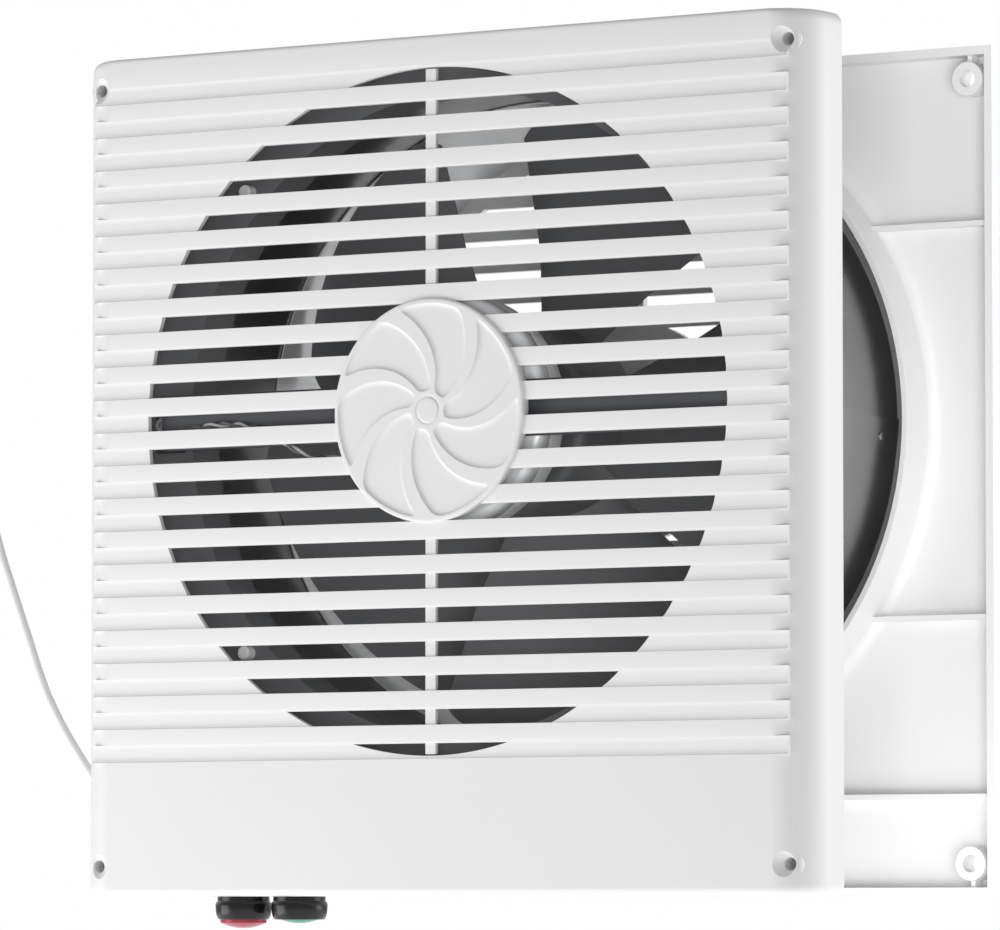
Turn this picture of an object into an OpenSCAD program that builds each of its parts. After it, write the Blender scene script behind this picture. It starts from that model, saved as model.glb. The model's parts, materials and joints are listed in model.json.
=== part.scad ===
// Room-to-room wall fan: a front unit and a rear unit on two sheet sleeves that
// slide in each other through the wall. Millimetres, +Z up, front towards -Y.
// The origin is the middle of the front unit's four wall screws, in the plane of
// the front unit's wall-side rim.

/* [Front cover] */
// Width of the front cover
cover_w = 293.4; // [285:0.2:310]
// Height of the front cover
cover_h = 290; // [284:0.5:310]
// Depth of the front cover from its face to the wall
cover_d = 22.9; // [22:0.1:30]
// Wall thickness of the front cover
cover_wall = 2.3; // [1.6:0.1:2.8]
// Radius along the left and right front edges
side_round = 14.6; // [10:0.2:16]
// Radius along the top front edge
top_round = 1.4; // [0.8:0.1:2]
// Radius along the bottom front edge
bottom_round = 2.5; // [1:0.1:3]

/* [Face grooves] */
// Number of grooved bars on the face
groove_rows = 21; // [15:2:21]
// Distance from one groove to the next
groove_pitch = 11.4; // [10:0.1:11.6]
// Height of one grooved bar
groove_h = 6; // [5.5:0.1:7]
// Depth that each bar is cut in along its lower edge
groove_depth = 1.3; // [0.5:0.1:1.5]
// Height of the cut along the lower edge of each bar
groove_shade = 1.9; // [1:0.1:3]
// Lip left under the cut
groove_lip = 0.6; // [0.3:0.1:1]
// Distance of the grooved bars' ends from the cover's sides
groove_inset = 7.8; // [7:0.1:12]

/* [Grille] */
// Radius of the round air opening in the face
opening_r = 116; // [112:0.5:118]
// Height of the duct axis above the middle of the face
duct_z = 18; // [14:0.5:20]
// Height of one air slot
slot_h = 5.2; // [3:0.1:5.4]
// Width of the upright spoke
spoke_w = 4.2; // [3:0.1:8]
// Thickness of the upright spoke
spoke_t = 1.7; // [1:0.1:2.2]
// Radius of the round medallion
medallion_r = 37.8; // [30:0.2:39]
// Thickness of the medallion
medallion_t = 4.1; // [3:0.1:4.4]
// How far the medallion stands in front of the face
medallion_proud = 1.4; // [0.5:0.1:1.8]
// Number of sunk petals in the medallion
petals = 7; // [5:1:9]
// Depth of the sunk petals
petal_deep = 0.8; // [0.4:0.1:1.2]

/* [Wall screws] */
// Distance of the wall screws from the cover's left and right sides
screw_inset_x = 8.7; // [8:0.1:10]
// Distance of the wall screws from the cover's top and bottom
screw_inset_z = 10.3; // [10:0.1:12]
// Diameter of the front unit's wall screw holes
wall_hole_d = 4.4; // [3:0.1:5]
// Diameter of the countersinks
sink_d = 7.8; // [6:0.1:8.2]
// Diameter of the screw posts
post_d = 9; // [8.8:0.1:10]

/* [Fan frame] */
// Thickness of the frame plate
frame_t = 2.5; // [1.6:0.1:3.5]
// Distance from the wall to the back of the frame plate
frame_set = 3.5; // [2.6:0.1:4]
// Distance of the frame plate's side edges from the cover's sides
frame_gap_x = 21.7; // [19:0.1:24]
// Distance of the frame plate's top edge from the cover's top
frame_gap_top = 11; // [7:0.5:14]
// Height of the frame plate's bottom edge
frame_bottom = -101; // [-101.6:0.2:-100]
// Distance of the frame screws from the frame plate's side edges
frame_screw_in = 17; // [15:0.5:20]
// Distance of the upper frame screws from the frame plate's top edge
frame_screw_down = 14; // [10:0.5:17]
// Height of the lower frame screws
frame_screw_low = -88; // [-90:0.5:-85]
// Diameter of the frame, bracket and plate screws
small_screw_d = 3; // [2:0.1:3.4]
// Depth of the round spigot that carries the front sleeve
spigot_depth = 14; // [8:0.5:20]
// Thickness of the spigot
spigot_t = 1.4; // [1:0.1:2]
// Diameter of the four small studs round the air opening
stud_d = 4.4; // [3:0.1:6]
// Height of the small studs
stud_h = 4; // [2:0.1:6]
// Angle of the small studs above and below the duct axis
stud_angle = 43.2; // [35:0.1:55]

/* [Motor] */
// Radius of the motor can
motor_r = 40; // [34:0.5:44]
// Depth of the motor can
motor_depth = 16.3; // [15.5:0.1:18]
// Depth of the motor's front shell
motor_front_depth = 7.3; // [7:0.1:8]
// Sheet thickness of the motor shells
motor_wall = 1.2; // [0.8:0.1:1.6]
// Radius of the motor shaft
shaft_r = 4; // [3:0.1:5]
// Outer radius of the motor bearings
bearing_r = 8; // [7:0.1:9]
// Width of one bearing
bearing_w = 4.6; // [3.5:0.1:4.8]
// Running clearance around the shaft
shaft_fit = 0.04; // [0.02:0.01:0.1]
// Height of the motor bracket's strap
strap_h = 19; // [14:0.5:24]
// Sheet thickness of the motor bracket
strap_t = 2; // [1.2:0.1:2.5]
// Distance from the middle to the bracket's bent legs
strap_reach = 114; // [112.5:0.5:116]
// Gap between the cover's face wall and the motor bracket
strap_gap = 3.4; // [3.2:0.1:5]

/* [Impeller] */
// Angle at which the first blade rests below the right-hand side
first_blade = 4; // [0:1:71]
// Number of blades
blades = 5; // [3:1:6]
// Radius over the blade tips
blade_r = 107.5; // [90:0.5:108]
// Angle from a blade's middle to its front edge, near the hub
front_edge_root = 27.5; // [24:0.5:35]
// Angle from a blade's middle to its front edge, near the tip
front_edge_tip = 31.2; // [22:0.1:34]
// Angle from a blade's middle to its back edge, near the hub
back_edge_root = 31.5; // [8:0.5:34]
// Angle from a blade's middle to its back edge, near the tip
back_edge_tip = 31.5; // [22:0.5:34]
// Pitch of the blades
blade_pitch = 15; // [8:1:16]
// Thickness of the blades
blade_t = 1.8; // [1.2:0.1:3]
// Radius of the impeller hub
hub_r = 34; // [26:0.5:38]
// Depth of the impeller hub
hub_depth = 34; // [30:0.5:40]
// Gap between the motor and the impeller hub
hub_gap = 20; // [14:0.5:22]
// Wall thickness of the impeller hub
hub_wall = 2; // [1.2:0.1:3]

/* [Sleeves] */
// Inner radius of the front sleeve
sleeve_r = 111; // [110:0.1:112]
// Sheet thickness of the front sleeve
sleeve_t = 1; // [0.6:0.1:1.4]
// Distance from the wall-side rim to the end of the front sleeve
sleeve_end = 98.6; // [92:0.2:99]
// Thickness of the folded seam along the front sleeve
seam_t = 0.6; // [0.3:0.1:1]
// Width of the folded seam
seam_w = 13; // [8:0.5:18]
// Sliding clearance between the sleeves
slide_fit = 0.06; // [0.02:0.01:0.1]
// Sheet thickness of the rear sleeve
inner_t = 0.8; // [0.5:0.1:1.2]
// Start of the rear sleeve behind the front unit's rim
inner_start = 46; // [40:0.5:70]
// Width of the rear sleeve's flange
flange_w = 5; // [4.6:0.1:5.6]
// Diameter of the rivet heads
rivet_d = 3.2; // [2:0.1:4]

/* [Rear unit] */
// Thickness of the wall between the two units
wall_gap = 102.7; // [101:0.1:110]
// Width of the rear plate
plate_w = 293.5; // [288:0.5:310]
// Height of the rear plate
plate_h = 290; // [284:0.5:310]
// Depth of the rear plate
plate_d = 10.4; // [9.8:0.1:14]
// Thickness of the rear plate's rim
rim_t = 3; // [2:0.1:3.4]
// Thickness of the rear plate's floor
floor_t = 2.9; // [2:0.1:3.2]
// Radius along the rear plate's outer edges
plate_round = 7; // [3:0.5:7.5]
// Inner radius of the collar around the sleeve
collar_r = 117.2; // [116.8:0.1:118]
// Thickness of the collar
collar_t = 1.9; // [1.2:0.1:2.4]
// Height of the collar above the rim
collar_proud = 10.5; // [4:0.5:14]
// Radius of the air outlet
outlet_r = 104; // [90:0.5:108]
// Height of one bar of the outlet
outlet_bar = 4.7; // [3:0.1:6]
// Radius of the plain disc in the middle of the outlet
outlet_disc = 38.5; // [20:0.5:70]
// Distance that the outlet's gaps lie below the rows of the front cover
outlet_drop = 0.85; // [0:0.05:1.5]
// Distance of the rear unit's wall screws from its left and right sides
rear_inset_x = 9.55; // [8.55:0.1:11.05]
// Distance of the rear unit's wall screws from its top and bottom
rear_inset_z = 11.1; // [10.6:0.1:13.1]
// Diameter of the rear unit's wall screw holes
rear_hole_d = 6; // [4:0.1:6.5]
// Diameter of the rear unit's screw bosses
rear_boss_d = 11.5; // [11.2:0.1:12]
// Height of the stiffening ribs
rib_h = 5.5; // [3:0.1:6.5]
// Thickness of the stiffening ribs
rib_t = 1.7; // [1:0.1:2.5]

/* [Push buttons] */
// Distance of the red button from the cover's left side
red_inset = 63.2; // [58:0.1:65]
// Distance between the two buttons
button_step = 23.1; // [22:0.1:32]
// Distance of the buttons from the wall
button_y = 11.2; // [11:0.1:11.4]
// Largest radius of the bezels
bezel_r = 9.6; // [9:0.1:10]
// Height of the bezels
bezel_h = 7.9; // [7.5:0.1:9]
// Radius of the bezels at their mouth
mouth_r = 8.7; // [8.5:0.1:8.9]
// Radius of the button caps
cap_r = 7.9; // [7:0.1:8]
// Sliding clearance around the caps and stems
cap_fit = 0.08; // [0.03:0.01:0.1]
// Height of the caps from dome to underside
cap_h = 5.3; // [4.6:0.1:5.6]
// How far the red dome stands out of its bezel
red_out = 2.9; // [2.5:0.1:3.2]
// How far the green dome stands out when it is latched in
green_out = 1.2; // [1:0.1:2]
// Radius of the threaded barrels
barrel_r = 6; // [5:0.1:6.5]
// Side of the square switch bodies
switch_w = 14; // [12.5:0.1:14.5]
// Height of the switch bodies
switch_h = 20; // [14:0.5:24]

/* [Wiring] */
// Distance of the wiring cover plate's side edges from the cover's sides
wiring_gap_x = 18.7; // [18:0.1:26]
// Height of the wiring cover plate
wiring_h = 36; // [30:0.5:37]
// Thickness of the wiring cover plate
wiring_t = 1.5; // [1:0.1:1.6]
// Distance of the wiring plate's left screw from the green button
wiring_screw_gap = 22.4; // [19:0.1:25]
// Radius of the capacitor
capacitor_r = 7; // [5:0.1:7.4]
// Length of the capacitor
capacitor_l = 34; // [20:1:44]

/* [Cord] */
// Diameter of the power cord
cord_d = 3; // [2.4:0.1:3.2]
// Length of the tapered strain relief
relief_l = 24; // [21:0.5:26]
// Radius of the strain relief at its inner end
relief_r = 4; // [3.4:0.1:4.2]
// Radius of the strain relief at its tip
relief_tip_r = 2.5; // [2.2:0.1:2.8]
// Distance between the turns of the put-away coil
coil_pitch = 3.48; // [3.45:0.01:3.6]
// Radius of the coil's outer turn
coil_r = 24.2; // [24:0.1:26]
// Length of the plug's moulded body
plug_l = 26; // [20:0.5:34]
// Width of the plug
plug_w = 22; // [20:0.5:24]
// Thickness of the plug
plug_t = 12; // [10:0.5:13]
// Distance between the plug's pins
pin_gap = 12.7; // [11:0.1:13]
// Length of the plug's pins
pin_l = 16; // [12:0.5:19]

/* [Hidden] */
$fn = 96;
e = 0.01;

// Sizes that follow the cover and the rear plate
screw_span_x = cover_w - 2 * screw_inset_x;
screw_span_z = cover_h - 2 * screw_inset_z;
groove_run = cover_w - 2 * groove_inset;
frame_w = cover_w - 2 * frame_gap_x;
frame_top = cover_h / 2 - frame_gap_top;
frame_screw_x = frame_w - 2 * frame_screw_in;
frame_screw_top = frame_top - frame_screw_down;
rear_span_x = plate_w - 2 * rear_inset_x;
rear_span_z = plate_h - 2 * rear_inset_z;
red_x = cover_w / 2 - red_inset;
green_x = red_x - button_step;
wiring_w = cover_w - 2 * wiring_gap_x;
wiring_screw_x = 2 * (green_x - wiring_screw_gap);
stud_ring = opening_r + 0.2;
rib_rows = [84.5, -50];
rib_low = -111;

// Levels along Y
face_y = -cover_d;
inner_y = face_y + cover_wall;
frame_back = -frame_set;
frame_front = frame_back - frame_t;
strap_front = inner_y + strap_gap;
strap_back = strap_front + strap_t;
motor_back = strap_back + motor_depth;
shell_seam = strap_back + motor_front_depth;
hub_front = motor_back + hub_gap;
hub_back = hub_front + hub_depth;
blade_y = hub_front + 0.82 * hub_depth;
rim_y = wall_gap;
plate_back = rim_y + plate_d;
floor_y = plate_back - floor_t;

// Fits
screw_fit = 0.06;
hole_fit = 0.2;
spigot_r = sleeve_r - slide_fit;
inner_r = sleeve_r - slide_fit - inner_t;
screw_r = small_screw_d / 2;
head_r = small_screw_d;
head_t = 1.7;
wiring_back = -0.6;
wiring_front = wiring_back - wiring_t;
wiring_top = -102.4;
wiring_mid = wiring_top - wiring_h / 2;
hub_boss_r = shaft_r + 5;
leg_in = strap_reach - strap_t;
foot_w = 11;
bracket_screw_x = strap_reach + 5.5;
motor_screw_x = 22;

module along_y(x, y, z) {
  translate([x, y, z]) rotate([-90, 0, 0]) children();
}

module row_box(x0, x1, y0, y1, z0, z1) {
  translate([x0, y0, z0]) cube([x1 - x0, y1 - y0, z1 - z0]);
}

// A box whose front edges along Z are rounded, front towards -Y
module round_box(w, h, front, back, r) {
  row_box(-w / 2 + r, w / 2 - r, front, back, -h / 2, h / 2);
  row_box(-w / 2, w / 2, front + r, back, -h / 2, h / 2);
  intersection() {
    row_box(-w / 2, w / 2, front, front + r + e, -h / 2, h / 2);
    for (s = [-1, 1])
      translate([s * (w / 2 - r), front + r, -h / 2]) cylinder(r = r, h = h);
  }
}

module edge_cut(z, r, up) {
  difference() {
    row_box(-cover_w, cover_w, face_y - 1, face_y + r, z - (up ? r : 1), z + (up ? 1 : r));
    translate([-cover_w - 1, face_y + r, z + (up ? -r : r)])
      rotate([0, 90, 0]) cylinder(r = r, h = 2 * cover_w + 2);
  }
}

function row_z(i) = duct_z + (i - (groove_rows - 1) / 2) * groove_pitch;

module groove_cut(z) {
  low = z - groove_h / 2 + groove_lip;
  translate([groove_run / 2 + 1, 0, 0]) rotate([0, -90, 0])
    linear_extrude(height = groove_run + 2)
      polygon([[low + groove_shade, face_y - e], [low, face_y + groove_depth],
        [low, face_y - e]]);
}

module slots(r, y0, y1) {
  intersection() {
    along_y(0, y0, duct_z) cylinder(r = r, h = y1 - y0);
    for (i = [0:groove_rows - 1])
      row_box(-r, r, y0, y1, row_z(i) - groove_h / 2, row_z(i) - groove_h / 2 + slot_h);
  }
}

// One sunk petal between two curved arms
petal_step = 360 / petals;
function petal_first(r) = 80 - petal_step + 37.8 * pow((r - 6.3) / 27.9, 1.1);
function petal_last(r) = 68.7 + 38.9 * pow((r - 6.3) / 28.8, 1.15);
petal_radii = [for (k = [0:12]) 6.5 + k * (medallion_r - 8.3) / 12];
module petal() {
  polygon(concat(
    [for (r = petal_radii) r * [cos(petal_last(r)), sin(petal_last(r))]],
    [for (k = [12:-1:0]) let (r = petal_radii[k])
      r * [cos(petal_first(r)), sin(petal_first(r))]]));
}

module medallion() difference() {
  along_y(0, face_y - medallion_proud, duct_z) cylinder(r = medallion_r, h = medallion_t);
  for (k = [0:petals - 1])
    translate([0, face_y - medallion_proud + petal_deep, duct_z]) rotate([90, 0, 0])
      rotate([0, 0, k * petal_step]) linear_extrude(height = petal_deep + 1) petal();
}

module post(x, z, d, y1, bore_d) {
  difference() {
    along_y(x, inner_y - e, z) cylinder(d = d, h = y1 - inner_y + e);
    along_y(x, inner_y + 1, z) cylinder(d = bore_d, h = y1 - inner_y);
  }
}

relief_dir = [-0.62, 0, 0.7846];
relief_tilt = -atan2(0.62, 0.7846);
cord_exit = [-cover_w / 2 - 1.8, -7, -105.3];
module relief_axis() {
  translate(cord_exit - relief_l * relief_dir) rotate([0, relief_tilt, 0]) children();
}

module front_cover() color("white") difference() {
  union() {
    difference() {
      union() {
        round_box(cover_w, cover_h, face_y, 0, side_round);
        for (i = [0:groove_rows - 1])
          row_box(-groove_run / 2, groove_run / 2, face_y, inner_y,
            row_z(i) - groove_h / 2, row_z(i) + groove_h / 2);
      }
      round_box(cover_w - 2 * cover_wall, cover_h - 2 * cover_wall, inner_y, 1,
        side_round - cover_wall);
      edge_cut(cover_h / 2, top_round, true);
      edge_cut(-cover_h / 2, bottom_round, false);
      for (i = [0:groove_rows - 1]) groove_cut(row_z(i));
      slots(opening_r, face_y - 1, inner_y + 1);
    }
    row_box(-spoke_w / 2, spoke_w / 2, inner_y - spoke_t, inner_y,
      duct_z - opening_r - 1, duct_z + opening_r + 1);
    medallion();
    for (x = [-1, 1], z = [-1, 1])
      along_y(x * screw_span_x / 2, inner_y - e, z * screw_span_z / 2)
        cylinder(d = post_d, h = -inner_y + e);
    for (x = [-1, 1], z = [frame_screw_top, frame_screw_low])
      post(x * frame_screw_x / 2, z, post_d, frame_front, small_screw_d + 2 * screw_fit);
    for (x = [-1, 1])
      post(x * wiring_screw_x / 2, wiring_mid, post_d - 2, wiring_front,
        small_screw_d + 2 * screw_fit);
  }
  for (x = [-1, 1], z = [-1, 1]) {
    along_y(x * screw_span_x / 2, face_y - 1, z * screw_span_z / 2)
      cylinder(d = wall_hole_d, h = cover_d + 2);
    along_y(x * screw_span_x / 2, face_y + 1.2 - 2, z * screw_span_z / 2)
      cylinder(r1 = sink_d / 2 + 2, r2 = wall_hole_d / 2, h = sink_d / 2 + 2 - wall_hole_d / 2);
  }
  for (x = [red_x, green_x])
    translate([-x, -button_y, -cover_h / 2 - 1])
      cylinder(r = barrel_r + hole_fit, h = cover_wall + 2);
  relief_axis() cylinder(r1 = relief_r + hole_fit, r2 = relief_tip_r + hole_fit, h = relief_l);
}

module fan_frame() color("dimgray") {
  difference() {
    row_box(-frame_w / 2, frame_w / 2, frame_front, frame_back, frame_bottom, frame_top);
    along_y(0, frame_front - 1, duct_z) cylinder(r = spigot_r - spigot_t, h = frame_t + 2);
    for (x = [-1, 1], z = [frame_screw_top, frame_screw_low])
      along_y(x * frame_screw_x / 2, frame_front - 1, z)
        cylinder(r = screw_r + hole_fit, h = frame_t + 2);
    for (x = [-1, 1])
      along_y(x * bracket_screw_x, frame_front - 1, duct_z)
        cylinder(r = screw_r + screw_fit, h = frame_t + 2);
  }
  for (x = [-1, 1], z = [-1, 1])
    along_y(x * stud_ring * cos(stud_angle), frame_front - stud_h,
      duct_z + z * stud_ring * sin(stud_angle))
      cylinder(d = stud_d, h = stud_h + e);
  difference() {
    along_y(0, frame_back - e, duct_z) cylinder(r = spigot_r, h = spigot_depth + e);
    along_y(0, frame_back - 1, duct_z) cylinder(r = spigot_r - spigot_t, h = spigot_depth + 2);
  }
}

// A pan-head screw along Y, its head at the back
module back_screw(x, y, z, l) {
  along_y(x, y, z) cylinder(r = head_r, h = head_t);
  along_y(x, y - l, z) cylinder(r = screw_r, h = l + e);
}

// A pan-head screw along Y, its head at the front
module front_screw(x, y, z, l) {
  along_y(x, y - head_t, z) cylinder(r = head_r, h = head_t);
  along_y(x, y - e, z) cylinder(r = screw_r, h = l + e);
}

module frame_screw(sx, z) color("silver")
  back_screw(sx * frame_screw_x / 2, frame_back, z, frame_t + 8);

module motor_bracket() color("dimgray") difference() {
  union() {
    row_box(-strap_reach, strap_reach, strap_front, strap_back,
      duct_z - strap_h / 2, duct_z + strap_h / 2);
    for (s = [-1, 1]) {
      row_box(s > 0 ? leg_in : -strap_reach, s > 0 ? strap_reach : -leg_in,
        strap_front, frame_front, duct_z - strap_h / 2, duct_z + strap_h / 2);
      row_box(s > 0 ? leg_in : -strap_reach - foot_w + strap_t,
        s > 0 ? strap_reach + foot_w - strap_t : -leg_in,
        frame_front - strap_t, frame_front, duct_z - strap_h / 2, duct_z + strap_h / 2);
    }
  }
  for (s = [-1, 1]) {
    along_y(s * bracket_screw_x, frame_front - strap_t - 1, duct_z)
      cylinder(r = screw_r + hole_fit, h = strap_t + 2);
    along_y(s * motor_screw_x, strap_front - 1, duct_z)
      cylinder(r = screw_r + hole_fit, h = strap_t + 2);
  }
}

module bracket_screw(s) color("silver")
  front_screw(s * bracket_screw_x, frame_front - strap_t, duct_z, strap_t + frame_t);

module motor_screw(s) color("silver")
  front_screw(s * motor_screw_x, strap_front, duct_z, strap_t + motor_wall);

module motor_front_shell() color("darkgray") difference() {
  union() {
    difference() {
      along_y(0, strap_back, duct_z) cylinder(r = motor_r, h = motor_front_depth);
      along_y(0, strap_back + motor_wall, duct_z)
        cylinder(r = motor_r - motor_wall, h = motor_front_depth);
    }
    along_y(0, strap_back + motor_wall - e, duct_z)
      cylinder(r = bearing_r + 1.6, h = bearing_w + e);
  }
  along_y(0, strap_back + motor_wall, duct_z)
    cylinder(r = bearing_r, h = motor_front_depth);
  for (s = [-1, 1])
    along_y(s * motor_screw_x, strap_back - 1, duct_z)
      cylinder(r = screw_r + screw_fit, h = motor_wall + 2);
}

module motor_rear_shell() color("darkgray") difference() {
  union() {
    difference() {
      along_y(0, shell_seam, duct_z) cylinder(r = motor_r, h = motor_back - shell_seam);
      along_y(0, shell_seam - 1, duct_z)
        cylinder(r = motor_r - motor_wall, h = motor_back - shell_seam + 1 - motor_wall);
    }
    along_y(0, motor_back - motor_wall - bearing_w, duct_z)
      cylinder(r = bearing_r + 1.6, h = bearing_w + e);
  }
  along_y(0, motor_back - motor_wall - bearing_w - 1, duct_z)
    cylinder(r = bearing_r, h = bearing_w + 1);
  along_y(0, motor_back - motor_wall - 1, duct_z)
    cylinder(r = shaft_r + 1.5, h = motor_wall + 2);
}

module ring_y(y0, y1, r1, r0) {
  difference() {
    along_y(0, y0, duct_z) cylinder(r = r1, h = y1 - y0);
    along_y(0, y0 - 1, duct_z) cylinder(r = r0, h = y1 - y0 + 2);
  }
}

module motor_stator() color("saddlebrown")
  ring_y(strap_back + motor_wall + 1.2, motor_back - motor_wall - 1.2,
    motor_r - motor_wall - screw_fit, 0.66 * motor_r);

module front_bearing() color("gray")
  ring_y(strap_back + motor_wall, strap_back + motor_wall + bearing_w, bearing_r,
    shaft_r + shaft_fit);

module rear_bearing() color("gray")
  ring_y(motor_back - motor_wall - bearing_w, motor_back - motor_wall, bearing_r,
    shaft_r + shaft_fit);

module motor_shaft() color("silver")
  along_y(0, strap_back + motor_wall + 0.5, duct_z)
    cylinder(r = shaft_r, h = hub_back + 9 - strap_back - motor_wall - 0.5);

module motor_rotor() color("gray") {
  rotor_mid = (strap_back + motor_back) / 2;
  ring_y(strap_back + motor_wall + 1.6, motor_back - motor_wall - 1.6,
    0.66 * motor_r - 0.6, bearing_r + 3.2);
  ring_y(rotor_mid - 0.9, rotor_mid + 0.9, bearing_r + 3.4, shaft_r);
}

module impeller() color("dimgray") difference() {
  union() {
    difference() {
      along_y(0, hub_front, duct_z) cylinder(r = hub_r, h = hub_depth);
      along_y(0, hub_front + hub_wall, duct_z)
        cylinder(r = hub_r - hub_wall, h = hub_depth);
    }
    along_y(0, hub_front + hub_wall - e, duct_z)
      cylinder(r = hub_boss_r, h = hub_depth - hub_wall + e);
    intersection() {
      ring_y(hub_front, hub_back + 20, blade_r, hub_r - 0.6);
      union() for (k = [0:blades - 1])
        translate([0, 0, duct_z]) rotate([0, first_blade + k * 360 / blades, 0]) blade();
    }
  }
  along_y(0, hub_front - 1, duct_z) cylinder(r = shaft_r, h = hub_depth + 30);
}

// One pitched blade, a tilted slab between two straight edges that widens outwards
near_hub = 1.32 * hub_r;
near_tip = 0.905 * blade_r;
front_in = near_hub * [cos(front_edge_root), sin(front_edge_root)];
front_out = near_tip * [cos(front_edge_tip), sin(front_edge_tip)];
back_in = near_hub * [cos(back_edge_root), -sin(back_edge_root)];
back_out = near_tip * [cos(back_edge_tip), -sin(back_edge_tip)];
blade_edges = [front_in + 0.35 * (front_in - front_out), front_out + (front_out - front_in),
  back_out + (back_out - back_in), back_in + 0.42 * (back_in - back_out)];
module blade() {
  intersection() {
    translate([blade_r / 2 + hub_r / 2 - 2, blade_y, 0]) rotate([-blade_pitch, 0, 0])
      cube([blade_r - hub_r + 12, blade_t, 3 * blade_r], center = true);
    translate([0, blade_y - blade_r, 0]) rotate([-90, 0, 0])
      linear_extrude(height = 2 * blade_r) polygon(blade_edges);
  }
}

module hub_nut() color("silver") difference() {
  along_y(0, hub_back, duct_z) cylinder(r = shaft_r * 1.9, h = 6, $fn = 6);
  along_y(0, hub_back - 1, duct_z) cylinder(r = shaft_r, h = 8);
}

module front_sleeve() color("dimgray") difference() {
  union() {
    ring_y(frame_back, sleeve_end, sleeve_r + sleeve_t, sleeve_r);
    intersection() {
      ring_y(frame_back, sleeve_end, sleeve_r + sleeve_t + seam_t, sleeve_r + sleeve_t / 2);
      row_box(0, 2 * sleeve_r, frame_back, sleeve_end, duct_z - seam_w, duct_z);
    }
  }
  for (k = [1:3]) rivet_at(k) cylinder(d = rivet_d / 2 + 2 * screw_fit, h = 10, center = true);
}

module rivet_at(k) {
  translate([0, (sleeve_end + 10) * k / 3 - 22, duct_z])
    rotate([0, asin(seam_w / 2 / (sleeve_r + sleeve_t)), 0])
      translate([sleeve_r + sleeve_t + seam_t, 0, 0]) rotate([0, 90, 0]) children();
}

module seam_rivet(k) color("silver") rivet_at(k) {
  cylinder(d = rivet_d, h = 0.9);
  translate([0, 0, -sleeve_t - seam_t]) cylinder(d = rivet_d / 2, h = sleeve_t + seam_t + e);
}

module rear_sleeve() color("silver") {
  ring_y(inner_start, floor_y, inner_r + inner_t, inner_r);
  difference() {
    ring_y(floor_y - 1, floor_y, sleeve_r + flange_w, inner_r + inner_t / 2);
    for (k = [0:2]) sleeve_screw_at(k) cylinder(r = 1.5 + hole_fit, h = 6, center = true);
  }
}

module sleeve_screw_at(k) {
  translate([0, floor_y - 1, duct_z]) rotate([0, 30 + 120 * k, 0])
    translate([sleeve_r + flange_w / 2 + 0.2, 0, 0]) rotate([-90, 0, 0]) children();
}

module sleeve_screw(k) color("silver") sleeve_screw_at(k) {
  translate([0, 0, -1]) cylinder(r = 2, h = 1);
  translate([0, 0, -e]) cylinder(r = 1.5, h = 3 + e);
}

module rear_plate() color("whitesmoke") difference() {
  union() {
    difference() {
      round_plate(plate_w, plate_h, rim_y, plate_back, plate_round);
      row_box(-plate_w / 2 + rim_t, plate_w / 2 - rim_t, rim_y - 1, floor_y,
        -plate_h / 2 + rim_t, plate_h / 2 - rim_t);
      outlet();
    }
    ring_y(rim_y - collar_proud, floor_y + e, collar_r + collar_t, collar_r);
    for (x = [-1, 1], z = [-1, 1])
      along_y(x * rear_span_x / 2, rim_y, z * rear_span_z / 2)
        cylinder(d = rear_boss_d, h = floor_y - rim_y + e);
    for (s = [-1, 1], z = rib_rows) {
      start = sqrt(pow(collar_r + collar_t / 2, 2) - pow(z - duct_z, 2));
      row_box(s > 0 ? start : -plate_w / 2 + rim_t - e,
        s > 0 ? plate_w / 2 - rim_t + e : -start,
        floor_y - rib_h, floor_y + e, z - rib_t / 2, z + rib_t / 2);
    }
    row_box(-plate_w / 2 + rim_t - e, plate_w / 2 - rim_t + e, floor_y - rib_h, floor_y + e,
      rib_low - rib_t / 2, rib_low + rib_t / 2);
    for (s = [-1, 1], t = [-1, 1])
      row_box(s * rear_span_x / 2 - rib_t / 2, s * rear_span_x / 2 + rib_t / 2,
        floor_y - rib_h, floor_y + e, t > 0 ? rear_span_z / 2 + 3.6 : -plate_h / 2 + rim_t - e,
        t > 0 ? plate_h / 2 - rim_t + e : -rear_span_z / 2 - 3.6);
  }
  for (x = [-1, 1], z = [-1, 1]) {
    along_y(x * rear_span_x / 2, rim_y - 1, z * rear_span_z / 2)
      cylinder(d = rear_hole_d, h = plate_d + 2);
    along_y(x * rear_span_x / 2, rim_y + 3, z * rear_span_z / 2)
      cylinder(d = 8.8, h = plate_d);
  }
  for (k = [0:2]) sleeve_screw_at(k) cylinder(r = 1.5 + screw_fit, h = 12, center = true);
}

// A plate whose four back edges are rounded, back towards +Y
module round_plate(w, h, front, back, r) {
  difference() {
    row_box(-w / 2, w / 2, front, back, -h / 2, h / 2);
    for (s = [-1, 1]) {
      difference() {
        translate([s * (w / 2 - r / 2 + 1), back - r / 2 + 1, 0])
          cube([r + 2, r + 2, h + 4], center = true);
        translate([s * (w / 2 - r), back - r, -h / 2 - 3]) cylinder(r = r, h = h + 6);
      }
      difference() {
        translate([0, back - r / 2 + 1, s * (h / 2 - r / 2 + 1)])
          cube([w + 4, r + 2, r + 2], center = true);
        translate([-w / 2 - 3, back - r, s * (h / 2 - r)])
          rotate([0, 90, 0]) cylinder(r = r, h = w + 6);
      }
    }
  }
}

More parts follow.
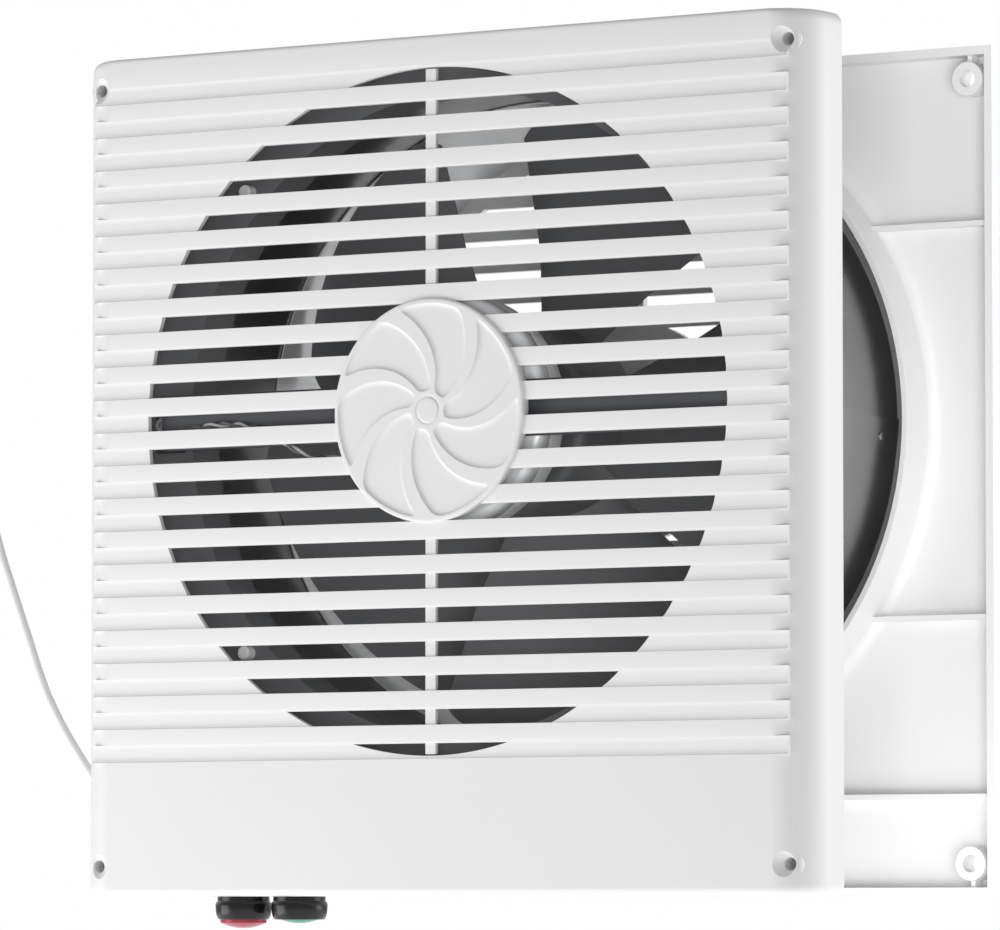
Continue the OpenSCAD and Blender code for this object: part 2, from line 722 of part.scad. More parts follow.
module outlet() {
  bar = (groove_pitch - outlet_bar) / 2;
  difference() {
    intersection() {
      along_y(0, floor_y - 1, duct_z) cylinder(r = outlet_r, h = floor_t + 2);
      for (i = [0:groove_rows - 1])
        row_box(-outlet_r, outlet_r, floor_y - 1, plate_back + 1,
          row_z(i) - outlet_drop - bar, row_z(i) - outlet_drop + bar);
    }
    row_box(-3, 3, floor_y - 2, plate_back + 2, duct_z - outlet_r - 1, duct_z + outlet_r + 1);
    along_y(0, floor_y - 2, duct_z) cylinder(r = outlet_disc, h = floor_t + 4);
  }
}

// Push buttons, which slide up into their bezels
bezel_top = -cover_h / 2;
bezel_low = bezel_top - bezel_h;
bezel_floor = bezel_top - 1.5;
stem_r = 3;
module bezel(x) color("black") translate([-x, -button_y, bezel_low]) difference() {
  rotate_extrude() polygon([[0, 0], [mouth_r, 0], [mouth_r + 0.5, 0.5],
    [bezel_r - 0.2, bezel_h * 0.5], [bezel_r, bezel_h * 0.66], [bezel_r - 0.3, bezel_h - 1.4],
    [bezel_r - 0.6, bezel_h - 1.2], [bezel_r - 0.6, bezel_h], [0, bezel_h]]);
  translate([0, 0, -1]) cylinder(r = cap_r + cap_fit, h = bezel_h - 0.5);
  cylinder(r = barrel_r, h = bezel_h + 1);
}

module button_switch(x) color("dimgray") translate([-x, -button_y, bezel_floor]) difference() {
  union() {
    cylinder(r = barrel_r, h = 18);
    translate([-switch_w / 2, -switch_w / 2, 18 - e]) cube([switch_w, switch_w, switch_h]);
    for (s = [-1, 1])
      translate([s * switch_w / 4 - 0.4, -2.4, 18 + switch_h - e]) cube([0.8, 4.8, 7]);
  }
  translate([0, 0, -1]) cylinder(r = stem_r + cap_fit, h = 17);
}

module switch_nut(x) color("silver")
  translate([-x, -button_y, -cover_h / 2 + cover_wall]) difference() {
    cylinder(r = bezel_r - 0.4, h = 3, $fn = 6);
    translate([0, 0, -1]) cylinder(r = barrel_r, h = 5);
  }

module button_cap(x, out, tint) color(tint) translate([-x, -button_y, bezel_low - out]) {
  dome = 1.9;
  ball = (cap_r * cap_r + dome * dome) / (2 * dome);
  intersection() {
    translate([0, 0, ball]) sphere(r = ball);
    cylinder(r = cap_r, h = dome + e);
  }
  translate([0, 0, dome]) cylinder(r = cap_r, h = cap_h - dome);
  translate([0, 0, cap_h - e]) cylinder(r = stem_r, h = 12);
}

// A return spring between the cap and the floor of the bezel
module button_spring(x, out) color("silver") {
  low = bezel_low - out + cap_h;
  high = bezel_floor;
  turns = 2;
  wire = 0.5;
  rise = high - low - wire - 0.1;
  path = [for (k = [0:turns * 8]) let (a = k * 45)
    [4.4 * cos(a), 4.4 * sin(a), wire / 2 + 0.05 + rise * k / (turns * 8)]];
  translate([-x, -button_y, low]) sweep(path, wire / 2, 6, [0, 0, 1]);
}

module wiring_plate() color("dimgray") difference() {
  row_box(-wiring_w / 2, wiring_w / 2, wiring_front, wiring_back,
    wiring_top - wiring_h, wiring_top);
  for (x = [-1, 1])
    along_y(x * wiring_screw_x / 2, wiring_front - 1, wiring_mid)
      cylinder(r = screw_r + hole_fit, h = wiring_t + 2);
}

module wiring_screw(s) color("silver") {
  along_y(s * wiring_screw_x / 2, wiring_back, wiring_mid) cylinder(r = head_r, h = 0.5);
  along_y(s * wiring_screw_x / 2, wiring_back - 8, wiring_mid) cylinder(r = screw_r, h = 8 + e);
}

module terminal_block() color("ivory") {
  start = -wiring_w / 2 + 2;
  for (k = [0:2])
    row_box(start + 9 * k, start + 7.5 + 9 * k, wiring_front - 11, wiring_front,
      wiring_mid - 6.6, wiring_mid + 5.4);
  row_box(start, start + 25.5, wiring_front - 8, wiring_front,
    wiring_mid - 4.6, wiring_mid + 3.4);
}

module capacitor() color("darkslategray") {
  start = wiring_screw_x / 2 + 18;
  row_box(start, start + capacitor_l, wiring_front - capacitor_r, wiring_front,
    wiring_mid - capacitor_r, wiring_mid + capacitor_r);
  translate([start, wiring_front - capacitor_r, wiring_mid]) rotate([0, 90, 0])
    cylinder(r = capacitor_r, h = capacitor_l);
}

module strain_relief() color("white") {
  relief_axis() cylinder(r1 = relief_r, r2 = relief_tip_r, h = relief_l);
  relief_axis() translate([0, 0, 2]) cylinder(r = relief_r + 1.4, h = 3);
}

// A tube of n sides along a row of points
function unit(v) = v / norm(v);
function heading(p, i) = unit(p[min(i + 1, len(p) - 1)] - p[max(i - 1, 0)]);
module sweep(p, r, n, ref) {
  m = len(p);
  pts = [for (i = [0:m - 1])
    let (t = heading(p, i), a = unit(cross(ref, t)), b = cross(t, a))
      for (k = [0:n - 1]) p[i] + r * (cos(360 * k / n) * a + sin(360 * k / n) * b)];
  sides = [for (i = [0:m - 2], k = [0:n - 1])
    let (j = (k + 1) % n) each [[i * n + k, (i + 1) * n + k, i * n + j],
      [i * n + j, (i + 1) * n + k, (i + 1) * n + j]]];
  caps = [for (k = [1:n - 2]) each [[0, k, k + 1],
    [(m - 1) * n, (m - 1) * n + k + 1, (m - 1) * n + k]]];
  polyhedron(points = pts, faces = concat(sides, caps));
}

// The cord rises from the strain relief to the coil on its wall hook
join_a = 18;
join = [-201, -5, 6];
coil_c = join - coil_r * [cos(join_a), 0, sin(join_a)];
join_dir = [-sin(join_a), 0, cos(join_a)];
cord_path = [cord_exit, [-150.4, -6.9, -102.9], [-153.9, -6.6, -98.2], [-157, -6.2, -94],
  [-160.1, -5.9, -89.5], [-163.6, -5.6, -84.5], [-167, -5.4, -79], [-169.9, -5.2, -74],
  [-172.5, -5.1, -68.5], [-174.9, -5, -63], [-177.2, -5, -57], [-179.6, -5, -51],
  [-182, -5, -45], [-184.4, -5, -39], [-186.8, -5, -33], [-189.3, -5, -27],
  [-191.7, -5, -21], [-194, -5, -14.5], [-196.1, -5, -8], [-198.1, -5, -2.4],
  join - cord_d * join_dir];
module power_cord() color("white") sweep(cord_path, cord_d / 2, 8, [0, 1, 0]);

// The coil: four layers that wind in, out, in and out again
turns = 14 + (180 - join_a) / 360;
layers = 4;
per = turns / layers;
layer_step = coil_pitch + 0.02;
steps = 23;
coil_in = coil_r - coil_pitch * per;
function coil_radius(s) = let (q = s / per, f = q - floor(q))
  floor(q) % 2 == 0 ? coil_r - (coil_r - coil_in) * f : coil_in + (coil_r - coil_in) * f;
function climb(s, k) = let (d = s - k * per)
  d < -0.25 ? 0 : d > 0.25 ? 1 : (1 + sin(d * 360)) / 2;
function coil_y(s) = -5 - layer_step * (climb(s, 1) + climb(s, 2) + climb(s, 3));
function coil_point(s) = let (a = join_a + 360 * s, r = coil_radius(min(s, turns - e)))
  [coil_c[0] + r * cos(a), coil_y(s), coil_c[2] + r * sin(a)];
coil_count = floor(turns * steps);
coil_end = coil_point(turns);
coil_path = concat([join - cord_d * join_dir], [for (k = [0:coil_count]) coil_point(k / steps)],
  [coil_end], [coil_end - [0, 0, cord_d]]);
module cord_coil() color("white") sweep(coil_path, cord_d / 2, 6, [0, 1, 0]);
function coil_gaps() = [for (i = [0:2:coil_count], j = [i + 12:coil_count])
  norm(coil_point(i / steps) - coil_point(j / steps))];
echo(coil_least_gap = min(coil_gaps()) - cord_d, coil_length = turns * PI * (coil_r + coil_in));

module coil_tie() color("black") {
  lo = coil_in - cord_d / 2 - 0.4;
  hi = coil_r + cord_d / 2 + 0.4;
  y0 = -5 - 3 * layer_step - cord_d / 2 - 0.4;
  y1 = -5 + cord_d / 2 + 0.4;
  translate([coil_c[0] - 4, 0, coil_c[2]]) difference() {
    row_box(0, 8, y0 - 0.8, y1 + 0.8, -hi - 0.8, -lo + 0.8);
    row_box(-1, 9, y0, y1, -hi, -lo);
  }
}

// The end of the cord hangs from the coil down to its plug
tail_path = [coil_end - [0, 0, cord_d], coil_end - [0.1, 0, 8], coil_end - [0.5, -0.3, 14],
  coil_end - [1, -0.8, 20], coil_end - [1.4, -1.2, 26], coil_end - [1.6, -1.4, 32],
  coil_end - [1.6, -1.4, 36]];
module cord_tail() color("white") sweep(tail_path, cord_d / 2, 8, [0, 1, 0]);
plug_at = coil_end - [1.6, -1.4, 36];

module plug_body() color("white") translate(plug_at) {
  translate([0, 0, -20]) cylinder(r1 = 4.2, r2 = 2.2, h = 20);
  translate([0, 0, -26]) cylinder(r1 = plug_t / 2, r2 = 4.2, h = 6.01);
  difference() {
    union() {
      translate([-plug_w / 2 + plug_t / 2, -plug_t / 2, -26 - plug_l])
        cube([plug_w - plug_t, plug_t, plug_l + e]);
      for (s = [-1, 1])
        translate([s * (plug_w - plug_t) / 2, 0, -26 - plug_l])
          cylinder(d = plug_t, h = plug_l + e);
    }
    for (s = [-1, 1])
      translate([s * pin_gap / 2 - 0.75, -3.15, -27 - plug_l]) cube([1.5, 6.3, 7]);
  }
}

module plug_pin(s) color("gold") translate(plug_at + [s * pin_gap / 2, 0, -26 - plug_l]) difference() {
  translate([-0.75, -3.15, -pin_l]) cube([1.5, 6.3, pin_l + 6]);
  translate([-2, 0, -pin_l + 3.6]) rotate([0, 90, 0]) cylinder(r = 1.2, h = 4);
}

// A wall hook whose peg carries the coil
peg_r = 3;
peg_z = coil_c[2] + coil_in - cord_d / 2 - peg_r - 0.3;
module cord_hook() color("silver") {
  back = -5 + cord_d / 2 + 0.3;
  front = -5 - 3 * layer_step - cord_d / 2 - 0.4;
  along_y(coil_c[0], back, peg_z) cylinder(r = 9, h = -back);
  along_y(coil_c[0], front - 2, peg_z) cylinder(r = peg_r, h = back - front + 2 + e);
  along_y(coil_c[0], front - 2.2, peg_z) cylinder(r = 4.6, h = 2.2);
}

// Leads from the motor along the bracket and down to the terminal block
lead_side = -wiring_w / 2;
function along_strap(t) = -57 + (lead_side + 81) * t;
lead_path = [[-38.4, -12, 4], [-43, -12.6, 4], [-48, -14.6, 4.2], [-52.5, -17.2, 4.9],
  [-57, -18.8, 6.8], [along_strap(0.15), -18.9, 11], [along_strap(0.32), -18.9, 14.4],
  [along_strap(0.49), -18.8, 16], [along_strap(0.66), -18.8, 16.6],
  [along_strap(0.83), -18.8, 16], [lead_side + 24, -18.8, 14.6],
  [lead_side + 17, -18.8, 12.4], [lead_side + 11, -18.6, 9], [lead_side + 6, -17.4, 4],
  [lead_side + 2, -15.8, -2], [lead_side - 1, -14.2, -10], [lead_side - 2.4, -13, -20],
  [lead_side - 3, -12, -32], [lead_side - 3, -11, -45], [lead_side - 3, -10.4, -60],
  [lead_side - 2.6, -10, -75], [lead_side - 1.4, -9.6, -88], [lead_side + 0.8, -9, -98],
  [lead_side + 3.4, -8.6, -105], [lead_side + 5.4, -8.4, -110],
  [lead_side + 5.8, -8.4, -114.6]];
module motor_leads() color("black") sweep(lead_path, 1.1, 8, [0.3, 0.95, 0.1]);

front_cover();
fan_frame();
frame_screw(-1, frame_screw_top);  // frame_screw_1
frame_screw(1, frame_screw_top);  // frame_screw_2
frame_screw(-1, frame_screw_low);  // frame_screw_3
frame_screw(1, frame_screw_low);  // frame_screw_4
motor_bracket();
bracket_screw(-1);  // bracket_screw_left
bracket_screw(1);  // bracket_screw_right
motor_front_shell();
motor_rear_shell();
motor_stator();
front_bearing();
rear_bearing();
motor_screw(-1);  // motor_screw_left
motor_screw(1);  // motor_screw_right
motor_leads();
motor_shaft();
motor_rotor();
impeller();
hub_nut();
front_sleeve();
seam_rivet(1);  // seam_rivet_1
seam_rivet(2);  // seam_rivet_2
seam_rivet(3);  // seam_rivet_3
bezel(red_x);  // red_bezel
button_switch(red_x);  // red_switch
switch_nut(red_x);  // red_nut
button_cap(red_x, red_out, "crimson");  // red_button
button_spring(red_x, red_out);  // red_spring
bezel(green_x);  // green_bezel
button_switch(green_x);  // green_switch
switch_nut(green_x);  // green_nut
button_cap(green_x, green_out, "teal");  // green_button
button_spring(green_x, green_out);  // green_spring
wiring_plate();
wiring_screw(-1);  // wiring_screw_left
wiring_screw(1);  // wiring_screw_right
terminal_block();
capacitor();
strain_relief();
power_cord();
cord_coil();
coil_tie();
cord_tail();
plug_body();
plug_pin(-1);  // plug_pin_left
plug_pin(1);  // plug_pin_right
cord_hook();
rear_sleeve();
rear_plate();
sleeve_screw(0);  // sleeve_screw_1
sleeve_screw(1);  // sleeve_screw_2
sleeve_screw(2);  // sleeve_screw_3
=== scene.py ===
import json
import math

import bmesh
import bpy
from bpy.props import FloatProperty, FloatVectorProperty, IntProperty, PointerProperty
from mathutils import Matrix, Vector

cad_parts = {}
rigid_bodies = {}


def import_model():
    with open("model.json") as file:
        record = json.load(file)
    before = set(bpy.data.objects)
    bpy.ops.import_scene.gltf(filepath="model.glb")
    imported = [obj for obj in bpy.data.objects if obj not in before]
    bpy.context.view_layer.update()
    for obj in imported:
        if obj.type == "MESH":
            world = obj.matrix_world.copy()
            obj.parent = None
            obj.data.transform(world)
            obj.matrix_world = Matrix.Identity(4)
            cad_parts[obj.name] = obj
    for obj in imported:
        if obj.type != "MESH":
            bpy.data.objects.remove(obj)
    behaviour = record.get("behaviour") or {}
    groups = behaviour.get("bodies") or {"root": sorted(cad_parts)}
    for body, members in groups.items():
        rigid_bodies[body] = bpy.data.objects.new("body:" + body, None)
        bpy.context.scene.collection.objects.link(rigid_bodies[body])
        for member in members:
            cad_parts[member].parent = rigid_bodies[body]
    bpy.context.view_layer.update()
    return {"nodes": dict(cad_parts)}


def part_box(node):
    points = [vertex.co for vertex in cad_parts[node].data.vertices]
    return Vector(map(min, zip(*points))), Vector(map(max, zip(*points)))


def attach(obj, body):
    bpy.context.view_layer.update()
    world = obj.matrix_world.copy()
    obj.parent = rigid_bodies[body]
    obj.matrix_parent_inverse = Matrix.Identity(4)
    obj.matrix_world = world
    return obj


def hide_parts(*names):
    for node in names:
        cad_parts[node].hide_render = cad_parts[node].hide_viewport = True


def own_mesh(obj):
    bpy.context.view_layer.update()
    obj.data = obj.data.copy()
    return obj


bl_info = {
    "name": "Room-to-room fan",
    "version": (1, 0, 0),
    "blender": (4, 5, 0),
    "location": "View3D > Sidebar > Wall fan",
    "description": "Builds the looks of a through-wall fan around its packed model",
    "category": "Add Mesh",
}

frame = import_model()

# The duct's axis runs along Y at this height, in millimetres
DUCT_Z = 18
AXIS = (0, 0, DUCT_Z)


# Sizes and colours

def size(name, text, default):
    return FloatProperty(name=name, description=text, default=default, unit="LENGTH")


def colour(name, text, default):
    return FloatVectorProperty(name=name, description=text, default=default, size=3,
                               min=0.0, max=1.0, subtype="COLOR")


class CoverSizes(bpy.types.PropertyGroup):
    width: size("Width", "Width of the front cover", 0.2934)
    height: size("Height", "Height of the front cover", 0.290)
    depth: size("Depth", "Depth of the front cover", 0.0229)
    wall: size("Wall", "Wall thickness of the front cover", 0.0023)
    side_round: size("Side rounding", "Radius along the left and right edges", 0.0146)
    corner: size("Corner", "Radius of the four corners", 0.004)
    top_round: size("Top rounding", "Radius along the top front edge", 0.0014)
    bottom_round: size("Bottom rounding", "Radius along the bottom front edge", 0.0025)
    bar_half: size("Half bar", "Half the length of one grooved bar", 0.1389)
    bar_height: size("Bar height", "Height of one grooved bar", 0.006)
    pitch: size("Pitch", "Distance from one bar to the next", 0.0114)
    rows: IntProperty(name="Rows", description="Number of grooved bars", default=21)
    opening: size("Opening", "Radius of the round air opening", 0.116)
    duct: size("Duct height", "Height of the duct axis", 0.018)
    slot: size("Slot", "Height of one air slot", 0.0052)
    medallion: size("Medallion", "Radius of the medallion", 0.0378)
    petals: IntProperty(name="Petals", description="Number of sunk petals", default=7)


class FanSizes(bpy.types.PropertyGroup):
    motor: size("Motor", "Radius of the motor can", 0.040)
    hub: size("Hub", "Radius of the impeller hub", 0.034)
    tip: size("Blade tips", "Radius over the blade tips", 0.1075)
    blades: IntProperty(name="Blades", description="Number of blades", default=5)
    sleeve: size("Sleeve", "Inner radius of the front sleeve", 0.111)
    sheet: size("Sheet", "Thickness of the front sleeve", 0.001)
    cord: size("Cord", "Diameter of the power cord", 0.003)
    coil: size("Coil", "Radius of the coil's outer turn", 0.0242)


class FanColours(bpy.types.PropertyGroup):
    white: colour("White", "Moulded white of both units", (0.80, 0.80, 0.80))
    sleeve: colour("Sleeve", "Dark sheet of the front sleeve", (0.235, 0.235, 0.24))
    dark: colour("Dark plastic", "Fan frame and impeller", (0.165, 0.168, 0.174))
    motor: colour("Motor", "Light grey of the motor can", (0.78, 0.79, 0.80))
    red: colour("Red", "Red button", (0.36, 0.045, 0.07))
    green: colour("Green", "Sea green button", (0.03, 0.21, 0.165))
    cord: colour("Cord", "Jacket of the power cord", (0.86, 0.86, 0.85))


def cover():
    return bpy.context.scene.fan_cover


def fan():
    return bpy.context.scene.fan_parts


def tints():
    return bpy.context.scene.fan_colours


# Materials

DRIFT_SCALE = 22.0
DRIFT_DETAIL = 3.0
GRAIN_DETAIL = 2.0
RELIEF_DEPTH = 0.0002
GLOSS_LIMITS = (0.02, 1.0)


def finish(name, base, rough, metal=0.0, grain=900.0, bump=0.05, mottle=0.03, spread=0.06,
           stretch=(1, 1, 1), specular=0.5):
    """A procedural surface: fine moulding or rolling grain over a slow drift of tone and gloss."""
    mat = bpy.data.materials.get(name)
    if mat:
        return mat
    mat = bpy.data.materials.new(name)
    mat.use_nodes = True
    nodes, links = mat.node_tree.nodes, mat.node_tree.links
    shader = nodes["Principled BSDF"]
    shader.inputs["Metallic"].default_value = metal
    shader.inputs["Specular IOR Level"].default_value = specular
    place = nodes.new("ShaderNodeTexCoord")
    mapping = nodes.new("ShaderNodeMapping")
    mapping.inputs["Scale"].default_value = stretch
    links.new(place.outputs["Object"], mapping.inputs["Vector"])

    slow = nodes.new("ShaderNodeTexNoise")
    slow.inputs["Scale"].default_value = DRIFT_SCALE
    slow.inputs["Detail"].default_value = DRIFT_DETAIL
    links.new(place.outputs["Object"], slow.inputs["Vector"])
    fine = nodes.new("ShaderNodeTexNoise")
    fine.inputs["Scale"].default_value = grain
    fine.inputs["Detail"].default_value = GRAIN_DETAIL
    links.new(mapping.outputs["Vector"], fine.inputs["Vector"])

    tone = nodes.new("ShaderNodeMix")
    tone.data_type = "RGBA"
    tone.inputs[6].default_value = (*[c * (1 - mottle) for c in base], 1)
    tone.inputs[7].default_value = (*[min(1.0, c * (1 + mottle)) for c in base], 1)
    links.new(slow.outputs["Fac"], tone.inputs["Factor"])
    links.new(tone.outputs[2], shader.inputs["Base Color"])

    gloss = nodes.new("ShaderNodeMapRange")
    gloss.inputs["To Min"].default_value = max(GLOSS_LIMITS[0], rough - spread)
    gloss.inputs["To Max"].default_value = min(GLOSS_LIMITS[1], rough + spread)
    links.new(fine.outputs["Fac"], gloss.inputs["Value"])
    links.new(gloss.outputs["Result"], shader.inputs["Roughness"])

    relief = nodes.new("ShaderNodeBump")
    relief.inputs["Strength"].default_value = bump
    relief.inputs["Distance"].default_value = RELIEF_DEPTH
    links.new(fine.outputs["Fac"], relief.inputs["Height"])
    links.new(relief.outputs["Normal"], shader.inputs["Normal"])
    return mat


def white_moulding():
    return finish("white_moulding", tints().white, 0.42, grain=1500, bump=0.05, mottle=0.012)


def dark_moulding():
    return finish("dark_moulding", tints().dark, 0.48, grain=1300, bump=0.08, mottle=0.06)


def sleeve_sheet():
    return finish("sleeve_sheet", tints().sleeve, 0.30, metal=1.0, grain=420, bump=0.05,
                  mottle=0.05, stretch=(1, 0.08, 1))


def motor_paint():
    return finish("motor_paint", tints().motor, 0.38, metal=0.15, grain=700, bump=0.05)


def bracket_paint():
    return finish("bracket_paint", (0.05, 0.052, 0.058), 0.45, grain=900, bump=0.08)


def zinc():
    return finish("zinc_plate", (0.62, 0.63, 0.64), 0.30, metal=1.0, grain=1600, bump=0.06,
                  mottle=0.06)


def turned_steel():
    return finish("turned_steel", (0.56, 0.57, 0.58), 0.25, metal=1.0, grain=900, bump=0.05,
                  stretch=(0.2, 4, 0.2))


def black_gloss():
    return finish("black_gloss", (0.008, 0.008, 0.009), 0.22, grain=600, bump=0.01,
                  spread=0.03, specular=0.4)


def black_moulding():
    return finish("black_moulding", (0.02, 0.02, 0.021), 0.5, grain=1100, bump=0.08)


def cord_jacket():
    return finish("cord_jacket", tints().cord, 0.46, grain=700, bump=0.05, mottle=0.02)


def brass():
    return finish("plug_brass", (0.80, 0.58, 0.26), 0.26, metal=1.0, grain=1200, bump=0.04)


# Mesh helpers, in millimetres

SHARP = 32
SHARP_ROUNDED = 50
ROUNDED_FROM = 35
WELD = 2e-6
FLAT_WITHIN = 1.0


def box_of(node):
    """The low and the high corner of a CAD node's box, in millimetres."""
    return [[v * 1000 for v in corner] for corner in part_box(node)]


def middle_of(node):
    """The middle of a CAD node's box, in millimetres."""
    low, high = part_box(node)
    return [(a + b) * 500 for a, b in zip(low, high)]


def linked(name, data):
    """A new object in the scene that shows the given data."""
    obj = bpy.data.objects.new(name, data)
    bpy.context.scene.collection.objects.link(obj)
    return obj


def smooth(obj, angle=SHARP):
    """Shades a mesh smoothly, with sharp edges where its faces meet at more than the angle."""
    obj.data.shade_smooth()
    mesh = bmesh.new()
    mesh.from_mesh(obj.data)
    limit = math.radians(angle)
    for edge in mesh.edges:
        edge.smooth = len(edge.link_faces) == 2 and edge.calc_face_angle(0.0) < limit
    mesh.to_mesh(obj.data)
    mesh.free()
    return obj


def piece(name, points, faces, mat, angle=SHARP, recalc=True):
    """A mesh object of one finish, from points in millimetres."""
    data = bpy.data.meshes.new(name)
    data.from_pydata([Vector(p) * 0.001 for p in points], [], faces)
    data.validate()
    obj = linked(name, data)
    mesh = bmesh.new()
    mesh.from_mesh(data)
    bmesh.ops.remove_doubles(mesh, verts=mesh.verts, dist=WELD)
    if recalc:
        bmesh.ops.recalc_face_normals(mesh, faces=mesh.faces)
    mesh.to_mesh(data)
    mesh.free()
    data.materials.append(mat)
    return smooth(obj, angle)


def settle(obj):
    """Turns an object's modifiers into its mesh."""
    bpy.context.view_layer.update()
    shown = obj.evaluated_get(bpy.context.evaluated_depsgraph_get())
    data = bpy.data.meshes.new_from_object(shown)
    obj.modifiers.clear()
    obj.data = data
    return obj


def bevel(obj, width, segments=2):
    """Rounds the edges, and keeps the large faces flat to the light."""
    mod = obj.modifiers.new("edges", "BEVEL")
    mod.width = width * 0.001
    mod.segments = segments
    mod.limit_method = "ANGLE"
    mod.angle_limit = math.radians(ROUNDED_FROM)
    mod.use_clamp_overlap = True
    smooth(settle(obj), SHARP_ROUNDED)
    even = obj.modifiers.new("even", "WEIGHTED_NORMAL")
    even.weight = 50
    even.keep_sharp = True
    return settle(obj)


def softened(node, width, mat, body, segments=2):
    """A copy of a CAD node with its edges rounded, shown in the node's place."""
    obj = linked("look_" + node, frame["nodes"][node].data.copy())
    mesh = bmesh.new()
    mesh.from_mesh(obj.data)
    bmesh.ops.remove_doubles(mesh, verts=mesh.verts, dist=WELD / 2)
    bmesh.ops.dissolve_limit(mesh, angle_limit=math.radians(FLAT_WITHIN), verts=mesh.verts,
                             edges=mesh.edges)
    mesh.to_mesh(obj.data)
    mesh.free()
    obj.data.materials.clear()
    obj.data.materials.append(mat)
    bevel(obj, width, segments)
    return on_body(obj, body, node)


def dress(node, mat):
    """Gives a CAD node its finish."""
    obj = frame["nodes"][node]
    obj.data.materials.clear()
    obj.data.materials.append(mat)
    obj.data.polygons.foreach_set("use_smooth", [True] * len(obj.data.polygons))
    return obj


def turned(name, profile, mat, centre=(0, 0, 0), axis="Y", segments=96):
    """A solid turned from a closed profile of (radius, height) points about an axis."""
    points, faces = [], []
    count = len(profile)
    for k in range(segments):
        a = 2 * math.pi * k / segments
        for r, h in profile:
            x, y = r * math.cos(a), r * math.sin(a)
            point = (x, h, y) if axis == "Y" else (x, y, h)
            points.append(Vector(point) + Vector(centre))
    for k in range(segments):
        n = (k + 1) % segments
        for i in range(count):
            j = (i + 1) % count
            faces.append((k * count + i, k * count + j, n * count + j, n * count + i))
    return piece(name, points, faces, mat)


def arc(cx, cy, r, a0, a1, steps):
    """Points on a circle from one angle to another, in degrees."""
    return [(cx + r * math.cos(math.radians(a0 + (a1 - a0) * i / steps)),
             cy + r * math.sin(math.radians(a0 + (a1 - a0) * i / steps)))
            for i in range(steps + 1)]


def block(name, low, high, mat, edge):
    """A block between two corners, with rounded edges."""
    x0, y0, z0 = low
    x1, y1, z1 = high
    points = [(x, y, z) for x in (x0, x1) for y in (y0, y1) for z in (z0, z1)]
    faces = [(0, 1, 3, 2), (4, 6, 7, 5), (0, 4, 5, 1), (2, 3, 7, 6), (0, 2, 6, 4), (1, 5, 7, 3)]
    return bevel(piece(name, points, faces, mat), edge)


def joined(name, objects):
    """One object in place of several of the same finish."""
    mesh = bmesh.new()
    for obj in objects:
        mesh.from_mesh(obj.data)
    data = bpy.data.meshes.new(name)
    mesh.to_mesh(data)
    mesh.free()
    data.materials.append(objects[0].data.materials[0])
    for obj in objects:
        bpy.data.objects.remove(obj)
    return linked(name, data)


def on_body(obj, body, *nodes, slot=None):
    """Sets a piece on its body, in the place of the CAD nodes that it stands for."""
    if nodes:
        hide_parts(*nodes)
    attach(obj, body)
    return obj


def spline_through(points, per=8):
    """Points of a smooth curve through the given points."""
    out = []
    pts = [Vector(p) for p in points]
    for i in range(len(pts) - 1):
        p0 = pts[i - 1] if i else pts[i] * 2 - pts[i + 1]
        p1, p2 = pts[i], pts[i + 1]
        p3 = pts[i + 2] if i + 2 < len(pts) else pts[i + 1] * 2 - pts[i]
        for k in range(per):
            t = k / per
            out.append(0.5 * (2 * p1 + (p2 - p0) * t + (2 * p0 - 5 * p1 + 4 * p2 - p3) * t * t
                              + (3 * p1 - p0 - 3 * p2 + p3) * t ** 3))
    out.append(pts[-1])
    return out


def tube(name, path, r, mat, sides=16):
    """A round tube with closed ends, carried along a path without twisting."""
    path = [Vector(p) for p in path]
    points, faces = [], []
    side = None
    for i, p in enumerate(path):
        ahead = path[min(i + 1, len(path) - 1)] - path[max(i - 1, 0)]
        ahead.normalize()
        if side is None:
            side = ahead.orthogonal().normalized()
        side = (side - ahead * side.dot(ahead)).normalized()
        up = ahead.cross(side)
        for k in range(sides):
            a = 2 * math.pi * k / sides
            points.append(p + side * (r * math.cos(a)) + up * (r * math.sin(a)))
    for i in range(len(path) - 1):
        for k in range(sides):
            n = (k + 1) % sides
            faces.append((i * sides + k, i * sides + n, (i + 1) * sides + n, (i + 1) * sides + k))
    faces.append(tuple(range(sides))[::-1])
    faces.append(tuple((len(path) - 1) * sides + k for k in range(sides)))
    return piece(name, points, faces, mat)


# Repeated pieces

def start_tree(name, inputs, output):
    """An empty tree with named inputs and one geometry output, with the nodes at its two ends."""
    tree = bpy.data.node_groups.new(name, "GeometryNodeTree")
    for label, kind in inputs:
        tree.interface.new_socket(label, in_out="INPUT", socket_type="NodeSocket" + kind)
    tree.interface.new_socket(output, in_out="OUTPUT", socket_type="NodeSocketGeometry")
    return tree, tree.nodes.new("NodeGroupInput"), tree.nodes.new("NodeGroupOutput")


def place_copies(tree, given, out, points, rotation):
    """Sets the piece on the points, makes the copies real and gives them their finish."""
    nodes, links = tree.nodes, tree.links
    info = nodes.new("GeometryNodeObjectInfo")
    place = nodes.new("GeometryNodeInstanceOnPoints")
    real = nodes.new("GeometryNodeRealizeInstances")
    paint = nodes.new("GeometryNodeSetMaterial")
    links.new(given.outputs["Piece"], info.inputs["Object"])
    links.new(points, place.inputs["Points"])
    links.new(info.outputs["Geometry"], place.inputs["Instance"])
    links.new(rotation, place.inputs["Rotation"])
    links.new(place.outputs["Instances"], real.inputs["Geometry"])
    links.new(real.outputs["Geometry"], paint.inputs["Geometry"])
    links.new(given.outputs["Finish"], paint.inputs["Material"])
    links.new(paint.outputs["Geometry"], out.inputs[0])
    return tree


